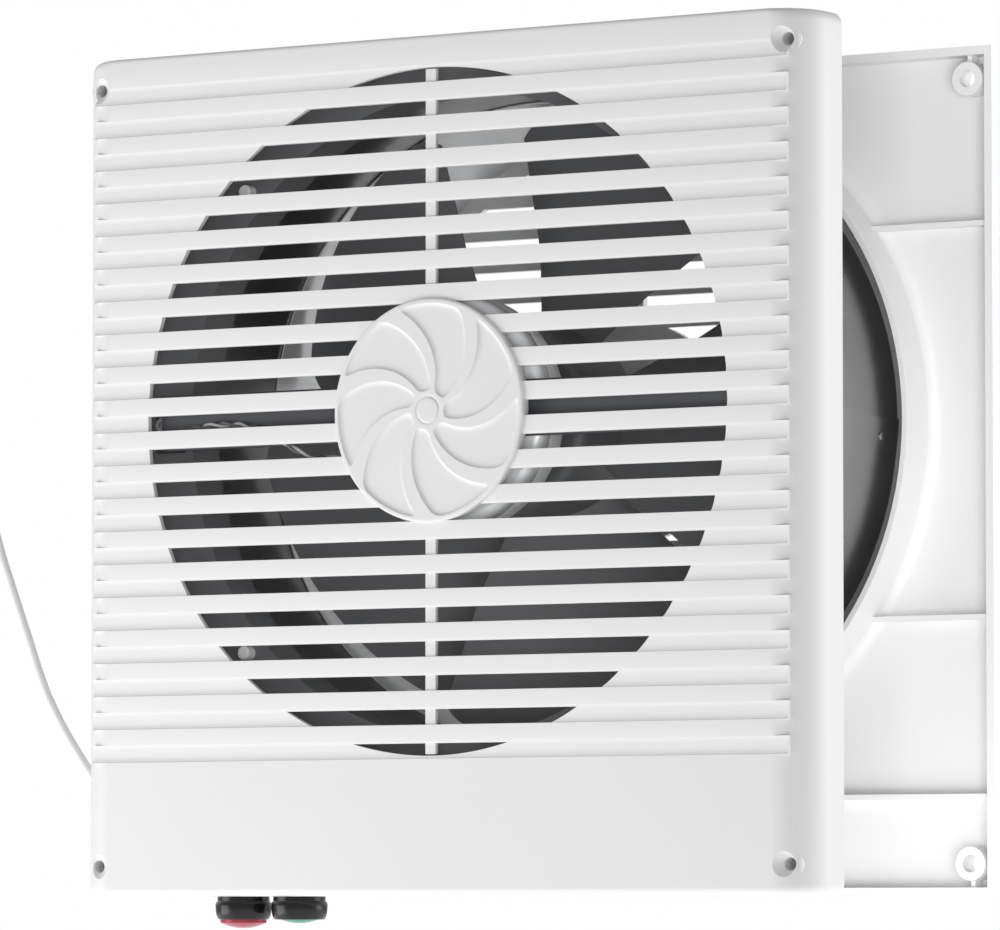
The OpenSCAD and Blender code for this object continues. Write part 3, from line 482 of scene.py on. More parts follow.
def copies_tree(name):
    """A tree that sets one small piece on every vertex of a mesh."""
    tree = bpy.data.node_groups.get(name)
    if tree:
        return tree
    tree, given, out = start_tree(name, (("Places", "Geometry"), ("Piece", "Object"),
                                         ("Turn", "Vector"), ("Finish", "Material")), "Copies")
    spots = tree.nodes.new("GeometryNodeMeshToPoints")
    turn = tree.nodes.new("FunctionNodeEulerToRotation")
    tree.links.new(given.outputs["Places"], spots.inputs["Mesh"])
    tree.links.new(given.outputs["Turn"], turn.inputs["Euler"])
    return place_copies(tree, given, out, spots.outputs["Points"], turn.outputs["Rotation"])


def ring_tree(name):
    """A tree that turns copies of one piece evenly about the duct's axis."""
    tree = bpy.data.node_groups.get(name)
    if tree:
        return tree
    tree, given, out = start_tree(name, (("Base", "Geometry"), ("Piece", "Object"),
                                         ("Count", "Int"), ("Axis height", "Float"),
                                         ("First angle", "Float"), ("Finish", "Material")), "Ring")
    nodes, links = tree.nodes, tree.links
    spots = nodes.new("GeometryNodePoints")
    index = nodes.new("GeometryNodeInputIndex")
    share = nodes.new("ShaderNodeMath")
    share.operation = "DIVIDE"
    whole = nodes.new("ShaderNodeMath")
    whole.operation = "MULTIPLY_ADD"
    whole.inputs[1].default_value = -2 * math.pi
    turn = nodes.new("ShaderNodeCombineXYZ")
    rotation = nodes.new("FunctionNodeEulerToRotation")
    height = nodes.new("ShaderNodeCombineXYZ")
    links.new(given.outputs["Count"], spots.inputs["Count"])
    links.new(given.outputs["Axis height"], height.inputs["Z"])
    links.new(height.outputs["Vector"], spots.inputs["Position"])
    links.new(index.outputs["Index"], share.inputs[0])
    links.new(given.outputs["Count"], share.inputs[1])
    links.new(share.outputs["Value"], whole.inputs[0])
    links.new(given.outputs["First angle"], whole.inputs[2])
    links.new(whole.outputs["Value"], turn.inputs["Y"])
    links.new(turn.outputs["Vector"], rotation.inputs["Euler"])
    return place_copies(tree, given, out, spots.outputs["Points"], rotation.outputs["Rotation"])


def run_tree(obj, tree, values):
    """Runs a tree on an object with the given inputs, and keeps the result as its mesh."""
    mod = obj.modifiers.new("copies", "NODES")
    mod.node_group = tree
    for item in tree.interface.items_tree:
        if item.in_out == "INPUT" and item.name in values:
            mod[item.identifier] = values[item.name]
    return settle(obj)


def copies(name, single, places, mat, turn=(0, 0, 0)):
    """Copies of one small piece at the given places."""
    obj = piece(name, places, [], mat)
    run_tree(obj, copies_tree("copies_on_places"),
             {"Piece": single, "Turn": turn, "Finish": mat})
    bpy.data.objects.remove(single)
    return smooth(obj)


def ring(name, single, count, height, first, mat, angle):
    """Copies of one piece round the duct's axis, from the first angle in degrees."""
    obj = piece(name, [(0, 0, 0)], [], mat)
    run_tree(obj, ring_tree("copies_round_axis"),
             {"Piece": single, "Count": count, "Axis height": height * 0.001,
              "First angle": math.radians(first), "Finish": mat})
    bpy.data.objects.remove(single)
    return smooth(obj, angle)


# Camera, light and floor, in metres

LENS, SENSOR = 252.76, 36.0
CAMERA_AT = (1.28546, -1.99462, -0.14933)
CAMERA_AZIMUTH, CAMERA_RISE = 32.526, -3.62
NEAR_CLIP, FAR_CLIP = 0.05, 60.0
LAMPS_AIM = (0, 0.03, 0)
WORLD_FILL = 0.43
# Each lamp's place, width and power
LEFT_LAMP = ((-1.05, -0.80, -0.50), 1.0, 9.0)
RIGHT_LAMP = ((1.35, 0.95, 0.15), 1.0, 10.0)
INNER_LAMP = ((1.25, -1.65, -0.35), 1.2, 30.0)
FLOOR_GLOW = 0.68
FLOOR_LEVEL, FLOOR_REACH, FLOOR_STEPS = -0.6, 3.0, 12
# What the inner lamp leaves alone, by the start of its name
OUTSIDE = ("cover", "medallion", "wall_posts", "frame_posts", "red", "green", "power_cord",
           "cord", "coil", "plug", "floor", "strain_relief")


def lamp(name, place, width, power):
    """A square soft lamp, turned to the fan and unseen by the camera."""
    data = bpy.data.lights.new(name, "AREA")
    data.shape = "SQUARE"
    data.size = width
    data.energy = power
    obj = linked(name, data)
    obj.location = place
    aim = Vector(LAMPS_AIM) - Vector(place)
    obj.rotation_mode = "QUATERNION"
    obj.rotation_quaternion = aim.to_track_quat("-Z", "Y")
    obj.visible_camera = False
    return obj


class FAN_OT_stage(bpy.types.Operator):
    """Sets the camera at the photograph's angle, with soft studio light and a pale floor"""
    bl_idname = "fan.stage"
    bl_label = "Stage"

    def execute(self, context):
        data = bpy.data.cameras.new("camera")
        data.sensor_fit = "HORIZONTAL"
        data.sensor_width = SENSOR
        data.lens = LENS
        data.clip_start = NEAR_CLIP
        data.clip_end = FAR_CLIP
        camera = linked("camera", data)
        azimuth, rise = math.radians(CAMERA_AZIMUTH), math.radians(CAMERA_RISE)
        out = Vector((math.sin(azimuth) * math.cos(rise), -math.cos(azimuth) * math.cos(rise),
                      math.sin(rise)))
        camera.location = CAMERA_AT
        camera.rotation_mode = "QUATERNION"
        camera.rotation_quaternion = (-out).to_track_quat("-Z", "Y")
        context.scene.camera = camera
        self.light(context)
        self.floor()
        return {"FINISHED"}

    def light(self, context):
        """White behind the fan, a weaker white fill for what the camera doesn't see, two lamps."""
        world = bpy.data.worlds.new("studio")
        world.use_nodes = True
        context.scene.world = world
        context.scene.view_settings.view_transform = "Standard"
        nodes, links = world.node_tree.nodes, world.node_tree.links
        shown, fill = nodes["Background"], nodes.new("ShaderNodeBackground")
        for background, strength in ((shown, 1.0), (fill, WORLD_FILL)):
            background.inputs["Color"].default_value = (1, 1, 1, 1)
            background.inputs["Strength"].default_value = strength
        path = nodes.new("ShaderNodeLightPath")
        mix = nodes.new("ShaderNodeMixShader")
        links.new(path.outputs["Is Camera Ray"], mix.inputs["Fac"])
        links.new(fill.outputs["Background"], mix.inputs[1])
        links.new(shown.outputs["Background"], mix.inputs[2])
        links.new(mix.outputs["Shader"], nodes["World Output"].inputs["Surface"])
        lamp("low_left", *LEFT_LAMP)
        lamp("right_side", *RIGHT_LAMP)

    def floor(self):
        """A faintly glowing pale floor, well below the hanging fan."""
        mat = finish("floor_paint", (0.93, 0.93, 0.93), 0.85, grain=60, bump=0.02, mottle=0.004)
        shader = mat.node_tree.nodes["Principled BSDF"]
        shader.inputs["Emission Color"].default_value = (1, 1, 1, 1)
        shader.inputs["Emission Strength"].default_value = FLOOR_GLOW
        points, faces = [], []
        low, span, step = FLOOR_LEVEL * 1000, FLOOR_REACH * 1000, FLOOR_STEPS
        for i in range(step + 1):
            for j in range(step + 1):
                points.append((-span + 2 * span * i / step, -span + 2 * span * j / step, low))
        for i in range(step):
            for j in range(step):
                k = i * (step + 1) + j
                faces.append((k, k + step + 1, k + step + 2, k + 1))
        obj = piece("floor", points, faces, mat, recalc=False)
        obj.visible_shadow = False


class FAN_OT_inner_light(bpy.types.Operator):
    """Adds a soft lamp that reaches only what stands behind the front cover"""
    bl_idname = "fan.inner_light"
    bl_label = "Inner light"

    def execute(self, context):
        group = bpy.data.collections.new("behind_cover")
        for obj in context.scene.objects:
            if obj.type == "MESH" and not obj.name.startswith(OUTSIDE):
                group.objects.link(obj)
        lamp("inner_fill", *INNER_LAMP).light_linking.receiver_collection = group
        return {"FINISHED"}


# Cord, in millimetres

# The cord's way from the cover to the put-away coil, as far as the photograph shows it
EXIT = (-148.5, -7, -105.3)
CORD_POINTS = [EXIT, (-150.6, -6.9, -102.9), (-154.5, -6.6, -98.2), (-158, -6.2, -94),
               (-161.5, -5.9, -89.5), (-165.1, -5.6, -84.5), (-168.6, -5.4, -79),
               (-171.5, -5.2, -74), (-174.1, -5.1, -68.5), (-176.5, -5, -63),
               (-178.8, -5, -57), (-181.2, -5, -51), (-183.6, -5, -45), (-186, -5, -39),
               (-188.4, -5, -33), (-190.8, -5, -27), (-192.9, -5, -21), (-195, -5, -14.5),
               (-196.8, -5, -8), (-198.4, -5, -2.4)]
# Where the cord meets the coil, and how the coil is wound
JOIN, JOIN_ANGLE = (-201.0, -5.0, 6.0), 18.0
TURNS, TURN_STEP, TURN_POINTS, LAYERS = 14.45, 3.48, 40, 4
LAYER_STEP = TURN_STEP + 0.02
# The tail's way from the coil's end down to the plug
TAIL = ((0, 0, -3), (-0.1, 0, -8), (-0.5, 0.3, -14), (-1, 0.8, -20), (-1.4, 1.2, -26),
        (-1.6, 1.4, -32), (-1.6, 1.4, -36))
NECK, PLUG_TALL, PLUG_HALF, PLUG_ROUND = 26, 26, 5, 6


def coil_points(outer):
    """The put-away cord: four layers that wind in, out, in and out again."""
    a0 = math.radians(JOIN_ANGLE)
    centre = (JOIN[0] - outer * math.cos(a0), JOIN[2] - outer * math.sin(a0))
    per = TURNS / LAYERS
    inner = outer - TURN_STEP * per
    points = []
    for k in range(int(TURNS * TURN_POINTS) + 2):
        s = min(k / TURN_POINTS, TURNS)
        q = min(s / per, LAYERS - 0.0001)
        f = q - int(q)
        r = outer - (outer - inner) * f if int(q) % 2 == 0 else inner + (outer - inner) * f
        y = JOIN[1]
        for layer in range(1, LAYERS):
            d = s - layer * per
            y -= LAYER_STEP * (0 if d < -0.25 else 1 if d > 0.25 else
                               (1 + math.sin(2 * math.pi * d)) / 2)
        a = a0 + 2 * math.pi * s
        points.append(Vector((centre[0] + r * math.cos(a), y, centre[1] + r * math.sin(a))))
    return points


class FAN_OT_cord(bpy.types.Operator):
    """Lays the power cord from its strain relief to the tied coil, with its plug"""
    bl_idname = "fan.cord"
    bl_label = "Power cord"

    def execute(self, context):
        thick = fan().cord * 1000
        wound = coil_points(fan().coil * 1000)
        end = wound[-1]
        a = math.radians(JOIN_ANGLE)
        lead = Vector((-math.sin(a), 0, math.cos(a)))
        rise = spline_through(CORD_POINTS + [Vector(JOIN) - lead * thick], 3)
        tail = spline_through([end + Vector(p) for p in TAIL], 3)
        route = rise + wound + tail
        data = bpy.data.curves.new("power_flex", "CURVE")
        data.dimensions = "3D"
        data.bevel_depth = thick / 2000
        data.bevel_resolution = 4
        data.use_fill_caps = True
        line = data.splines.new("POLY")
        line.points.add(len(route) - 1)
        for spot, p in zip(line.points, route):
            spot.co = (*[c * 0.001 for c in p], 1)
        data.materials.append(cord_jacket())
        flex = linked("power_flex", data)
        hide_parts("power_cord", "cord_coil", "cord_tail")
        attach(flex, "front_unit")

        plug = self.plug(end + Vector(TAIL[-1]))
        tie = softened("coil_tie", 0.35, black_moulding(), "front_unit")
        hook = self.hook()
        softened("strain_relief", 0.3, cord_jacket(), "front_unit")
        for side in ("left", "right"):
            dress("plug_pin_" + side, brass())
        return {"FINISHED"}

    def plug(self, at):
        """The plug's ribbed neck and its flat body, below the end of the tail."""
        mat = finish("plug_moulding", tints().cord, 0.42, grain=1200, bump=0.06)
        ribs = [(2.2, 0)]
        for k in range(7):
            r, z = 2.3 + 0.27 * k, -1.0 - 2.6 * k
            ribs += [(r, z), (r, z - 1.4), (r - 0.4, z - 1.5), (r - 0.4, z - 2.5)]
        ribs += [(4.2, -19.4), (4.2, -20), (5.9, -NECK), (0, -NECK), (0, 0)]
        neck = turned("plug_neck", ribs, mat, centre=at, axis="Z", segments=48)
        low = at.z - NECK - PLUG_TALL
        outline = []
        for cx, a0 in ((PLUG_HALF, -90), (-PLUG_HALF, 90)):
            outline += [(at.x + cx + x, at.y + y)
                        for x, y in arc(0, 0, PLUG_ROUND, a0, a0 + 180, 12)]
        points, faces = [], []
        levels = ((low, -0.8), (low + 0.8, 0), (at.z - NECK - 1.2, 0), (at.z - NECK, -1.2))
        for z, grow in levels:
            for x, y in outline:
                away = Vector((x - at.x, y - at.y)).normalized() * grow
                points.append((x + away.x, y + away.y, z))
        n = len(outline)
        for i in range(len(levels) - 1):
            for k in range(n):
                j = (k + 1) % n
                faces.append((i * n + k, i * n + j, (i + 1) * n + j, (i + 1) * n + k))
        faces += [tuple(range(n)), tuple((len(levels) - 1) * n + k for k in range(n))]
        body = piece("plug_block", points, faces, mat)
        return on_body(joined("plug", [neck, body]), "front_unit", "plug_body")

    def hook(self):
        """The small round hook on the wall that carries the coil."""
        x, _, z = middle_of("cord_hook")
        at, front, back = (x, 0, z), box_of("cord_hook")[0][1], -3.2
        profile = ([(0, 0), (9, 0), (9, back + 0.8)] + arc(8.2, back + 0.8, 0.8, 0, -90, 4)
                   + [(4.2, back)] + arc(4.2, back - 1.2, 1.2, 90, 180, 4)
                   + [(3, front + 3.2)] + arc(4.0, front + 1.1, 0.6, 90, 0, 3)
                   + arc(3.5, front + 1.1, 1.1, 0, -90, 5) + [(0, front)])
        return on_body(turned("wall_hook", profile, zinc(), centre=at, segments=64),
                       "front_unit", "cord_hook")


# Front cover, in millimetres

# A grooved bar from its top edge down: (distance below the edge, depth below the face)
BAR_CURVE = ((0, 0), (0.15, 0.03), (0.5, 0.11), (0.8, 0.18), (1.2, 0.25), (2.0, 0.33),
             (2.8, 0.38), (3.5, 0.42), (4.1, 0.43), (4.6, 0.41), (5.0, 0.36), (5.4, 0.28),
             (5.7, 0.20), (5.9, 0.10), (6.0, 0))
BAR_LINES = (0, 0.15, 0.5, 0.8, 1.2, 1.6, 2, 2.4, 2.8, 3.15, 3.5, 3.8, 4.1, 4.35, 4.6, 4.8, 5.0,
             5.2, 5.4, 5.7, 5.9, 6)
# Lines near the top and the bottom of the round opening, and near the cover's two ends
OPENING_LINES = (0, 0.02, 0.1, 0.25, 0.5)
BOTTOM_LINES = (0, 0.06, 0.25, 0.6, 1.1, 1.7)
TOP_LINES = (1.7, 1.1, 0.7, 0.35, 0.12, 0.03, 0)
FLAT_LINES = (2.6, 3.3, 4.0)
CLOSE = 1e-6
# The wall screws' holes and the frame's posts
HOLE_X, HOLE_Z, HOLE_R, POST_R = 138, 134.7, 2.2, 4.5
SINK_R, SINK_STEP, SINK_DEEP = 6.4, 1.27, 2.95
FRAME_X, FRAME_HIGH, FRAME_LOW, PILOT_R = 108, 120, -88, 1.56
POST_FRONT, PILOT_FRONT, POST_BACK = -20.7, -17, -6
# The spoke behind the slots
SPOKE_HALF, SPOKE_LOW, SPOKE_HIGH = 2.1, -97.5, 133.5


def bar_face(t):
    """Depth of a grooved bar below the face, by the distance t under the bar's top edge."""
    for (t0, d0), (t1, d1) in zip(BAR_CURVE, BAR_CURVE[1:]):
        if t <= t1:
            return d0 + (d1 - d0) * (t - t0) / (t1 - t0)
    return 0.0


class CoverShell:
    """The cover's outer and inner skin, laid line by line from the bottom to the top."""

    def __init__(self):
        c = cover()
        self.w, self.h, self.d = c.width * 500, c.height * 500, c.depth * 1000
        self.wall, self.r = c.wall * 1000, c.side_round * 1000
        self.corner, self.bar = c.corner * 1000, c.bar_half * 1000
        self.rounds = (c.bottom_round * 1000, c.top_round * 1000)
        self.opening, self.duct = c.opening * 1000, c.duct * 1000
        self.tall, self.pitch, self.slot = c.bar_height * 1000, c.pitch * 1000, c.slot * 1000
        self.rows = c.rows
        self.points, self.keys, self.faces = [], {}, []
        self.mark = math.degrees(math.acos((self.bar - self.w + self.r) / self.r))

    def vertex(self, x, y, z):
        key = (round(x, 3), round(y, 3), round(z, 3))
        if key not in self.keys:
            self.keys[key] = len(self.points)
            self.points.append((x, y, z))
        return self.keys[key]

    def face(self, *corners):
        edge = self.loop(corners)
        if len(edge) > 2:
            self.faces.append(edge)

    def loop(self, corners):
        """The vertices of a face, each one once."""
        out = []
        for corner in corners:
            v = self.vertex(*corner)
            if v not in out:
                out.append(v)
        return out

    def inset(self, z):
        """How far the side and the face draw back at one height, near the top and the bottom."""
        d = self.h - abs(z)
        r = self.rounds[1 if z > 0 else 0]
        side = self.corner - math.sqrt(max(0, self.corner ** 2 - max(0, self.corner - d) ** 2))
        front = r - math.sqrt(max(0, r ** 2 - max(0, r - d) ** 2))
        return side, front

    def chord(self, z):
        """Half the width of the round opening at one height."""
        return math.sqrt(max(0.0, self.opening ** 2 - (z - self.duct) ** 2))

    def outer(self, z, depth):
        """Half of the outer line at one height; depth is None away from the bars."""
        side, front = self.inset(z)
        x, y = self.w - side, -self.d + front
        line = [(x, 0.0), (x, y + self.r)]
        line += self.rounding(x, y, self.r, (9, 18, 27, 36, 45, 54, self.mark))
        for px, py in self.rounding(x, y, self.r, (self.mark, 68, 74, 80, 85, 90)):
            line.append((px, py if depth is None else -self.d + depth))
        flat = y if depth is None else -self.d + depth
        return line + [(self.chord(z), flat), (0.0, flat)]

    def inner(self, z):
        """Half of the inner line at one height."""
        x, y, r = self.w - self.wall, -self.d + self.wall, self.r - self.wall
        line = [(x, 0.0), (x, y + r)] + self.rounding(x, y, r, (15, 30, 45, 60, 75, 90))
        return line + [(self.chord(z), y), (0.0, y)]

    def rounding(self, x, y, r, angles):
        """Points of the rounding between the side at x and the face at y."""
        return [(x - r + r * math.cos(math.radians(a)), y + r - r * math.sin(math.radians(a)))
                for a in angles]

    def strip(self, z0, a, z1, b, keep=None):
        """Faces between two lines, on both sides of the middle."""
        for s in (1, -1):
            last = len(a) - 1 if keep is None else keep
            for i in range(last):
                self.face((s * a[i][0], a[i][1], z0), (s * a[i + 1][0], a[i + 1][1], z0),
                          (s * b[i + 1][0], b[i + 1][1], z1), (s * b[i][0], b[i][1], z1))

    def heights(self):
        """(height, depth on the bar or None, whether the slot is open above it) in order."""
        lip = self.h - self.wall
        marks = [(-self.h + d, None, False) for d in (*BOTTOM_LINES, self.wall, *FLAT_LINES)]
        ends = [end for q in OPENING_LINES
                for end in (self.duct + self.opening - q, self.duct - self.opening + q)]
        for i in range(self.rows):
            middle = self.duct + (i - (self.rows - 1) / 2) * self.pitch
            top, low = middle + self.tall / 2, middle - self.tall / 2
            mouth = low + self.slot
            marks.append((low, None, False))
            lines = [top - t for t in BAR_LINES] + [mouth] + [z for z in ends if low < z < top]
            for z in sorted({round(z, 4) for z in lines}):
                wide = self.chord(z + 0.001) > 0
                inside = low - CLOSE <= z < mouth - CLOSE and wide
                marks.append((z, bar_face(top - z), inside))
            marks.append((top, None, False))
        marks += [(self.h - d, None, False) for d in (*FLAT_LINES[::-1], self.wall, *TOP_LINES)]
        return marks, lip

    def build(self):
        """All points and faces of the shell."""
        marks, lip = self.heights()
        was_open = False
        for (z0, d0, is_open), (z1, d1, _) in zip(marks, marks[1:]):
            a, b = self.outer(z0, d0), self.outer(z1, d1)
            hollow = abs(z0) <= lip + CLOSE and abs(z1) <= lip + CLOSE
            keep = len(a) - 2 if is_open else None
            self.strip(z0, a, z1, b, keep)
            if hollow:
                c, d = self.inner(z0), self.inner(z1)
                self.strip(z1, d, z0, c, len(c) - 2 if is_open else None)
                for s in (1, -1):
                    self.face((s * a[0][0], 0, z0), (s * b[0][0], 0, z1), (s * d[0][0], 0, z1),
                              (s * c[0][0], 0, z0))
                    if is_open:
                        self.face((s * a[-2][0], a[-2][1], z0), (s * b[-2][0], b[-2][1], z1),
                                  (s * d[-2][0], d[-2][1], z1), (s * c[-2][0], c[-2][1], z0))
            if is_open != was_open:
                c = self.inner(z0)
                for s in (1, -1):
                    self.face((s * a[-2][0], a[-2][1], z0), (0, a[-1][1], z0),
                              (0, c[-1][1], z0), (s * c[-2][0], c[-2][1], z0))
            was_open = is_open
        self.close(marks, lip)
        return self.points, self.faces

    def close(self, marks, lip):
        """The top and the bottom, outside and inside, and the back edge beside them."""
        for s in (-1, 1):
            for z, line in ((s * self.h, self.outer(s * self.h, None)),
                            (s * lip, self.inner(s * lip))):
                self.faces.append(self.loop([(x, y, z) for x, y in line]
                                            + [(-x, y, z) for x, y in line[::-1]]))
            rim = sorted({round(m[0], 4) for m in marks if lip - CLOSE <= s * m[0]})
            side = [(self.outer(z, None)[0][0], 0.0, z) for z in rim][::s]
            inner = self.w - self.wall
            self.faces.append(self.loop([(inner, 0, s * lip), *side]
                                        + [(-x, y, z) for x, y, z in side[::-1]]
                                        + [(-inner, 0, s * lip)]))


class FAN_OT_cover(bpy.types.Operator):
    """Makes the grooved front cover with its slots, spoke, posts and countersunk corners"""
    bl_idname = "fan.cover"
    bl_label = "Front cover"

    def execute(self, context):
        shell = CoverShell()
        points, faces = shell.build()
        mat = white_moulding()
        obj = piece("cover_shell", points, faces, mat)
        corners = [(x, 0, z) for x in (-HOLE_X, HOLE_X) for z in (-HOLE_Z, HOLE_Z)]
        y = -shell.d
        profile = [(0, y - 2), (SINK_R, y - 2), (SINK_R, y - SINK_STEP), (HOLE_R, y + SINK_DEEP),
                   (HOLE_R, 1), (0, 1)]
        drill = copies("drill", turned("sink", profile, mat, segments=64), corners, mat)
        cut = obj.modifiers.new("corner_holes", "BOOLEAN")
        cut.object = drill
        cut.solver = "EXACT"
        settle(obj)
        bpy.data.objects.remove(drill)
        smooth(obj, 30)
        on_body(obj, "front_unit", "front_cover")

        wall_post = ([(HOLE_R, y + 3.4), (POST_R, y + 3.4)]
                     + arc(POST_R - 0.3, -0.3, 0.3, 0, 90, 3) + [(HOLE_R, 0)])
        on_body(copies("wall_posts", turned("post", wall_post, mat, segments=48), corners, mat),
                "front_unit")
        pilot = [(PILOT_R, PILOT_FRONT), (PILOT_R, POST_BACK), (POST_R - 0.3, POST_BACK),
                 (POST_R, POST_BACK - 0.3), (POST_R, POST_FRONT), (0, POST_FRONT),
                 (0, PILOT_FRONT)]
        places = [(x, 0, z) for x in (-FRAME_X, FRAME_X) for z in (FRAME_HIGH, FRAME_LOW)]
        on_body(copies("frame_posts", turned("post", pilot, mat, segments=48), places, mat),
                "front_unit")
        on_body(block("cover_spoke", (-SPOKE_HALF, y + 0.6, SPOKE_LOW),
                      (SPOKE_HALF, y + shell.wall, SPOKE_HIGH), mat, 0.25), "front_unit")
        return {"FINISHED"}


# The medallion, in millimetres: how far it stands out, its thickness, the ring of its petals
LIFT, MEDALLION_THICK, PETAL_START, MEDALLION_RIM = 1.4, 4.1, 6.4, 1.6
PETAL_DEPTH, PETAL_WALL, PETAL_ROUND, ARM_START = 0.8, 1.7, 2.6, 6.3
# The two edges of a petal: (angle at the start, turn up to the reach, reach, power of the turn)
PETAL_EDGES = ((80, 37.8, 27.9, 1.1), (68.7, 38.9, 28.8, 1.15))
# How the lines crowd towards an edge, as shares of the wall's width
CROWD = (0, 0.06, 0.16, 0.3, 0.5, 0.75, 1)


class FAN_OT_medallion(bpy.types.Operator):
    """Makes the round medallion with its sunk petals"""
    bl_idname = "fan.medallion"
    bl_label = "Medallion"

    def execute(self, context):
        c, mat = cover(), white_moulding()
        radius, face = c.medallion * 1000, -c.depth * 1000 - LIFT
        outer = radius - MEDALLION_RIM
        step = 360 / c.petals
        rows = [(0.0, -0.15), (2.4, -0.15), (3.9, -0.15), (4.15, -0.1), (4.3, 0.0), (4.4, 0.25),
                (4.7, 0.25), (4.8, 0.05), (4.95, 0), (5.8, 0)]
        near = [PETAL_WALL * t for t in CROWD]
        span = outer - PETAL_START
        rows += [(PETAL_START + t, 0) for t in near]
        rows += [(PETAL_START + PETAL_WALL + (span - 2 * PETAL_WALL) * k / 26, 0)
                 for k in range(1, 26)]
        rows += [(outer - t, 0) for t in near[::-1]]
        rows += [(radius - 1.0, 0)]
        rows += [(radius - 0.8 + 0.8 * math.sin(math.radians(a)),
                  0.8 - 0.8 * math.cos(math.radians(a))) for a in (15, 30, 45, 60, 75, 90)]
        rows += [(radius, MEDALLION_THICK - 0.3), (radius - 0.3, MEDALLION_THICK),
                 (0.0, MEDALLION_THICK)]
        points, faces = [], []
        for r, drop in rows:
            for k in range(c.petals):
                for angle, sides in self.columns(max(PETAL_START, min(r, outer)), step):
                    y = face + drop
                    if PETAL_START <= r <= outer and sides:
                        y += self.sink(sides + (r - PETAL_START, outer - r))
                    a = math.radians(angle + k * step)
                    points.append((r * math.cos(a), y, DUCT_Z + r * math.sin(a)))
        n = len(points) // len(rows)
        for i in range(len(rows) - 1):
            for k in range(n):
                m = (k + 1) % n
                faces.append((i * n + k, i * n + m, (i + 1) * n + m, (i + 1) * n + k))
        on_body(piece("medallion_disc", points, faces, mat, 40), "front_unit")
        return {"FINISHED"}

    def columns(self, r, step):
        """The angles across one petal and the arm after it, with the distances to both arms."""
        (a0, turn0, reach0, power0), (a1, turn1, reach1, power1) = PETAL_EDGES
        first = a0 - step + turn0 * ((r - ARM_START) / reach0) ** power0
        last = a1 + turn1 * ((r - ARM_START) / reach1) ** power1
        turn = math.radians(turn0 * power0 / reach0 * ((r - ARM_START) / reach0) ** 0.1)
        flat = math.radians(1) * r / math.hypot(1, r * turn)
        across = (last - first) * flat
        near = [min(PETAL_WALL * t, across / 2 * t) for t in CROWD]
        inner = [near[-1] + (across - 2 * near[-1]) * k / 7 for k in range(1, 7)]
        for d in near + inner + [across - t for t in near[::-1]]:
            yield first + d / flat, (d, across - d)
        for k in range(1, 6):
            yield last + (first + step - last) * k / 6, None

    def sink(self, sides):
        """How deep the surface lies at these distances from the petal's edges."""
        near = sum(max(PETAL_ROUND - d, 0) ** 2 for d in sides)
        d = max(0.0, PETAL_ROUND - math.sqrt(near))
        t = min(1.0, d / PETAL_WALL)
        return PETAL_DEPTH * math.sqrt(1 - (1 - t) ** 2)


# Fan, motor and sleeves, in millimetres

# The frame plate's front and back, and the lips that close the view past its top and left edges
PLATE_FRONT, PLATE_BACK = -6, -3.5
TOP_LIP_HALF, LIP_TALL, LIP_WIDE, LIP_LOW, LIP_HIGH, LIP_LAP = 60, 4.6, 6, -42, 78, 0.4
STUD_X, STUD_Z = 84.7, 79.5
# The motor can's front, seam and back, its wall, and the seat of each bearing
CAN_FRONT, CAN_SEAM, CAN_BACK, CAN_WALL = -15.2, -7.9, 1.1, 1.2
SEAT_R, SEAT_WALL, SEAT_DEEP = 8, 1.6, 5.8
# The leads' way from the motor along the strap and down to the terminal block
LEAD_ROUTE = (
    (-38.6, -12, 4), (-43, -12.6, 4), (-48, -14.6, 4.2), (-52.5, -17.2, 4.9), (-57, -18.8, 6.8),
    (-64, -18.9, 11), (-72, -18.9, 14.4), (-80, -18.8, 16), (-88, -18.8, 16.6), (-96, -18.8, 16),
    (-104, -18.8, 14.6), (-111, -18.8, 12.4), (-117, -18.6, 9), (-122, -17.4, 4),
    (-126, -15.8, -2), (-129, -14.2, -10), (-130.4, -13, -20), (-131, -12, -32),
    (-131, -11, -45), (-131, -10.4, -60), (-130.6, -10, -75), (-129.4, -9.6, -88),
    (-127.2, -9, -98), (-124.6, -8.6, -105), (-122.6, -8.4, -110), (-122.2, -8.4, -114.6))
LEAD_R, LEAD_APART, LEAD_TWIST = 0.6, 0.62, 13
# The impeller's hub, and its blades: place along the hub, first angle, pitch, bow, half thickness
HUB_DEPTH, HUB_WALL, BORE_R = 34, 2, 4
BLADE_MIDDLE, BLADE_FIRST, BLADE_PITCH, BLADE_BOW, BLADE_HALF = 0.82, 4, 14.5, 1.6, 0.85
BLADE_ACROSS, BLADE_OUTWARD, BLADE_ROOT = 40, 24, 0.8
# A blade's straight front edge by (radius, degrees) of two points, and its back edge in degrees
EDGE_NEAR, EDGE_FAR, EDGE_BACK = (45, -27.5), (97, -31.2), 31.5
# The sleeves
SLEEVE_FROM, SLEEVE_TO, SHEET_LIP = -3.5, 98.6, 0.3
SEAM_ANGLE, SEAM_THICK, RIVET_ANGLE = 6.6, 0.6, 93.3
LINER_THICK, SLIDE_FIT, FLANGE_R = 0.8, 0.06, 116

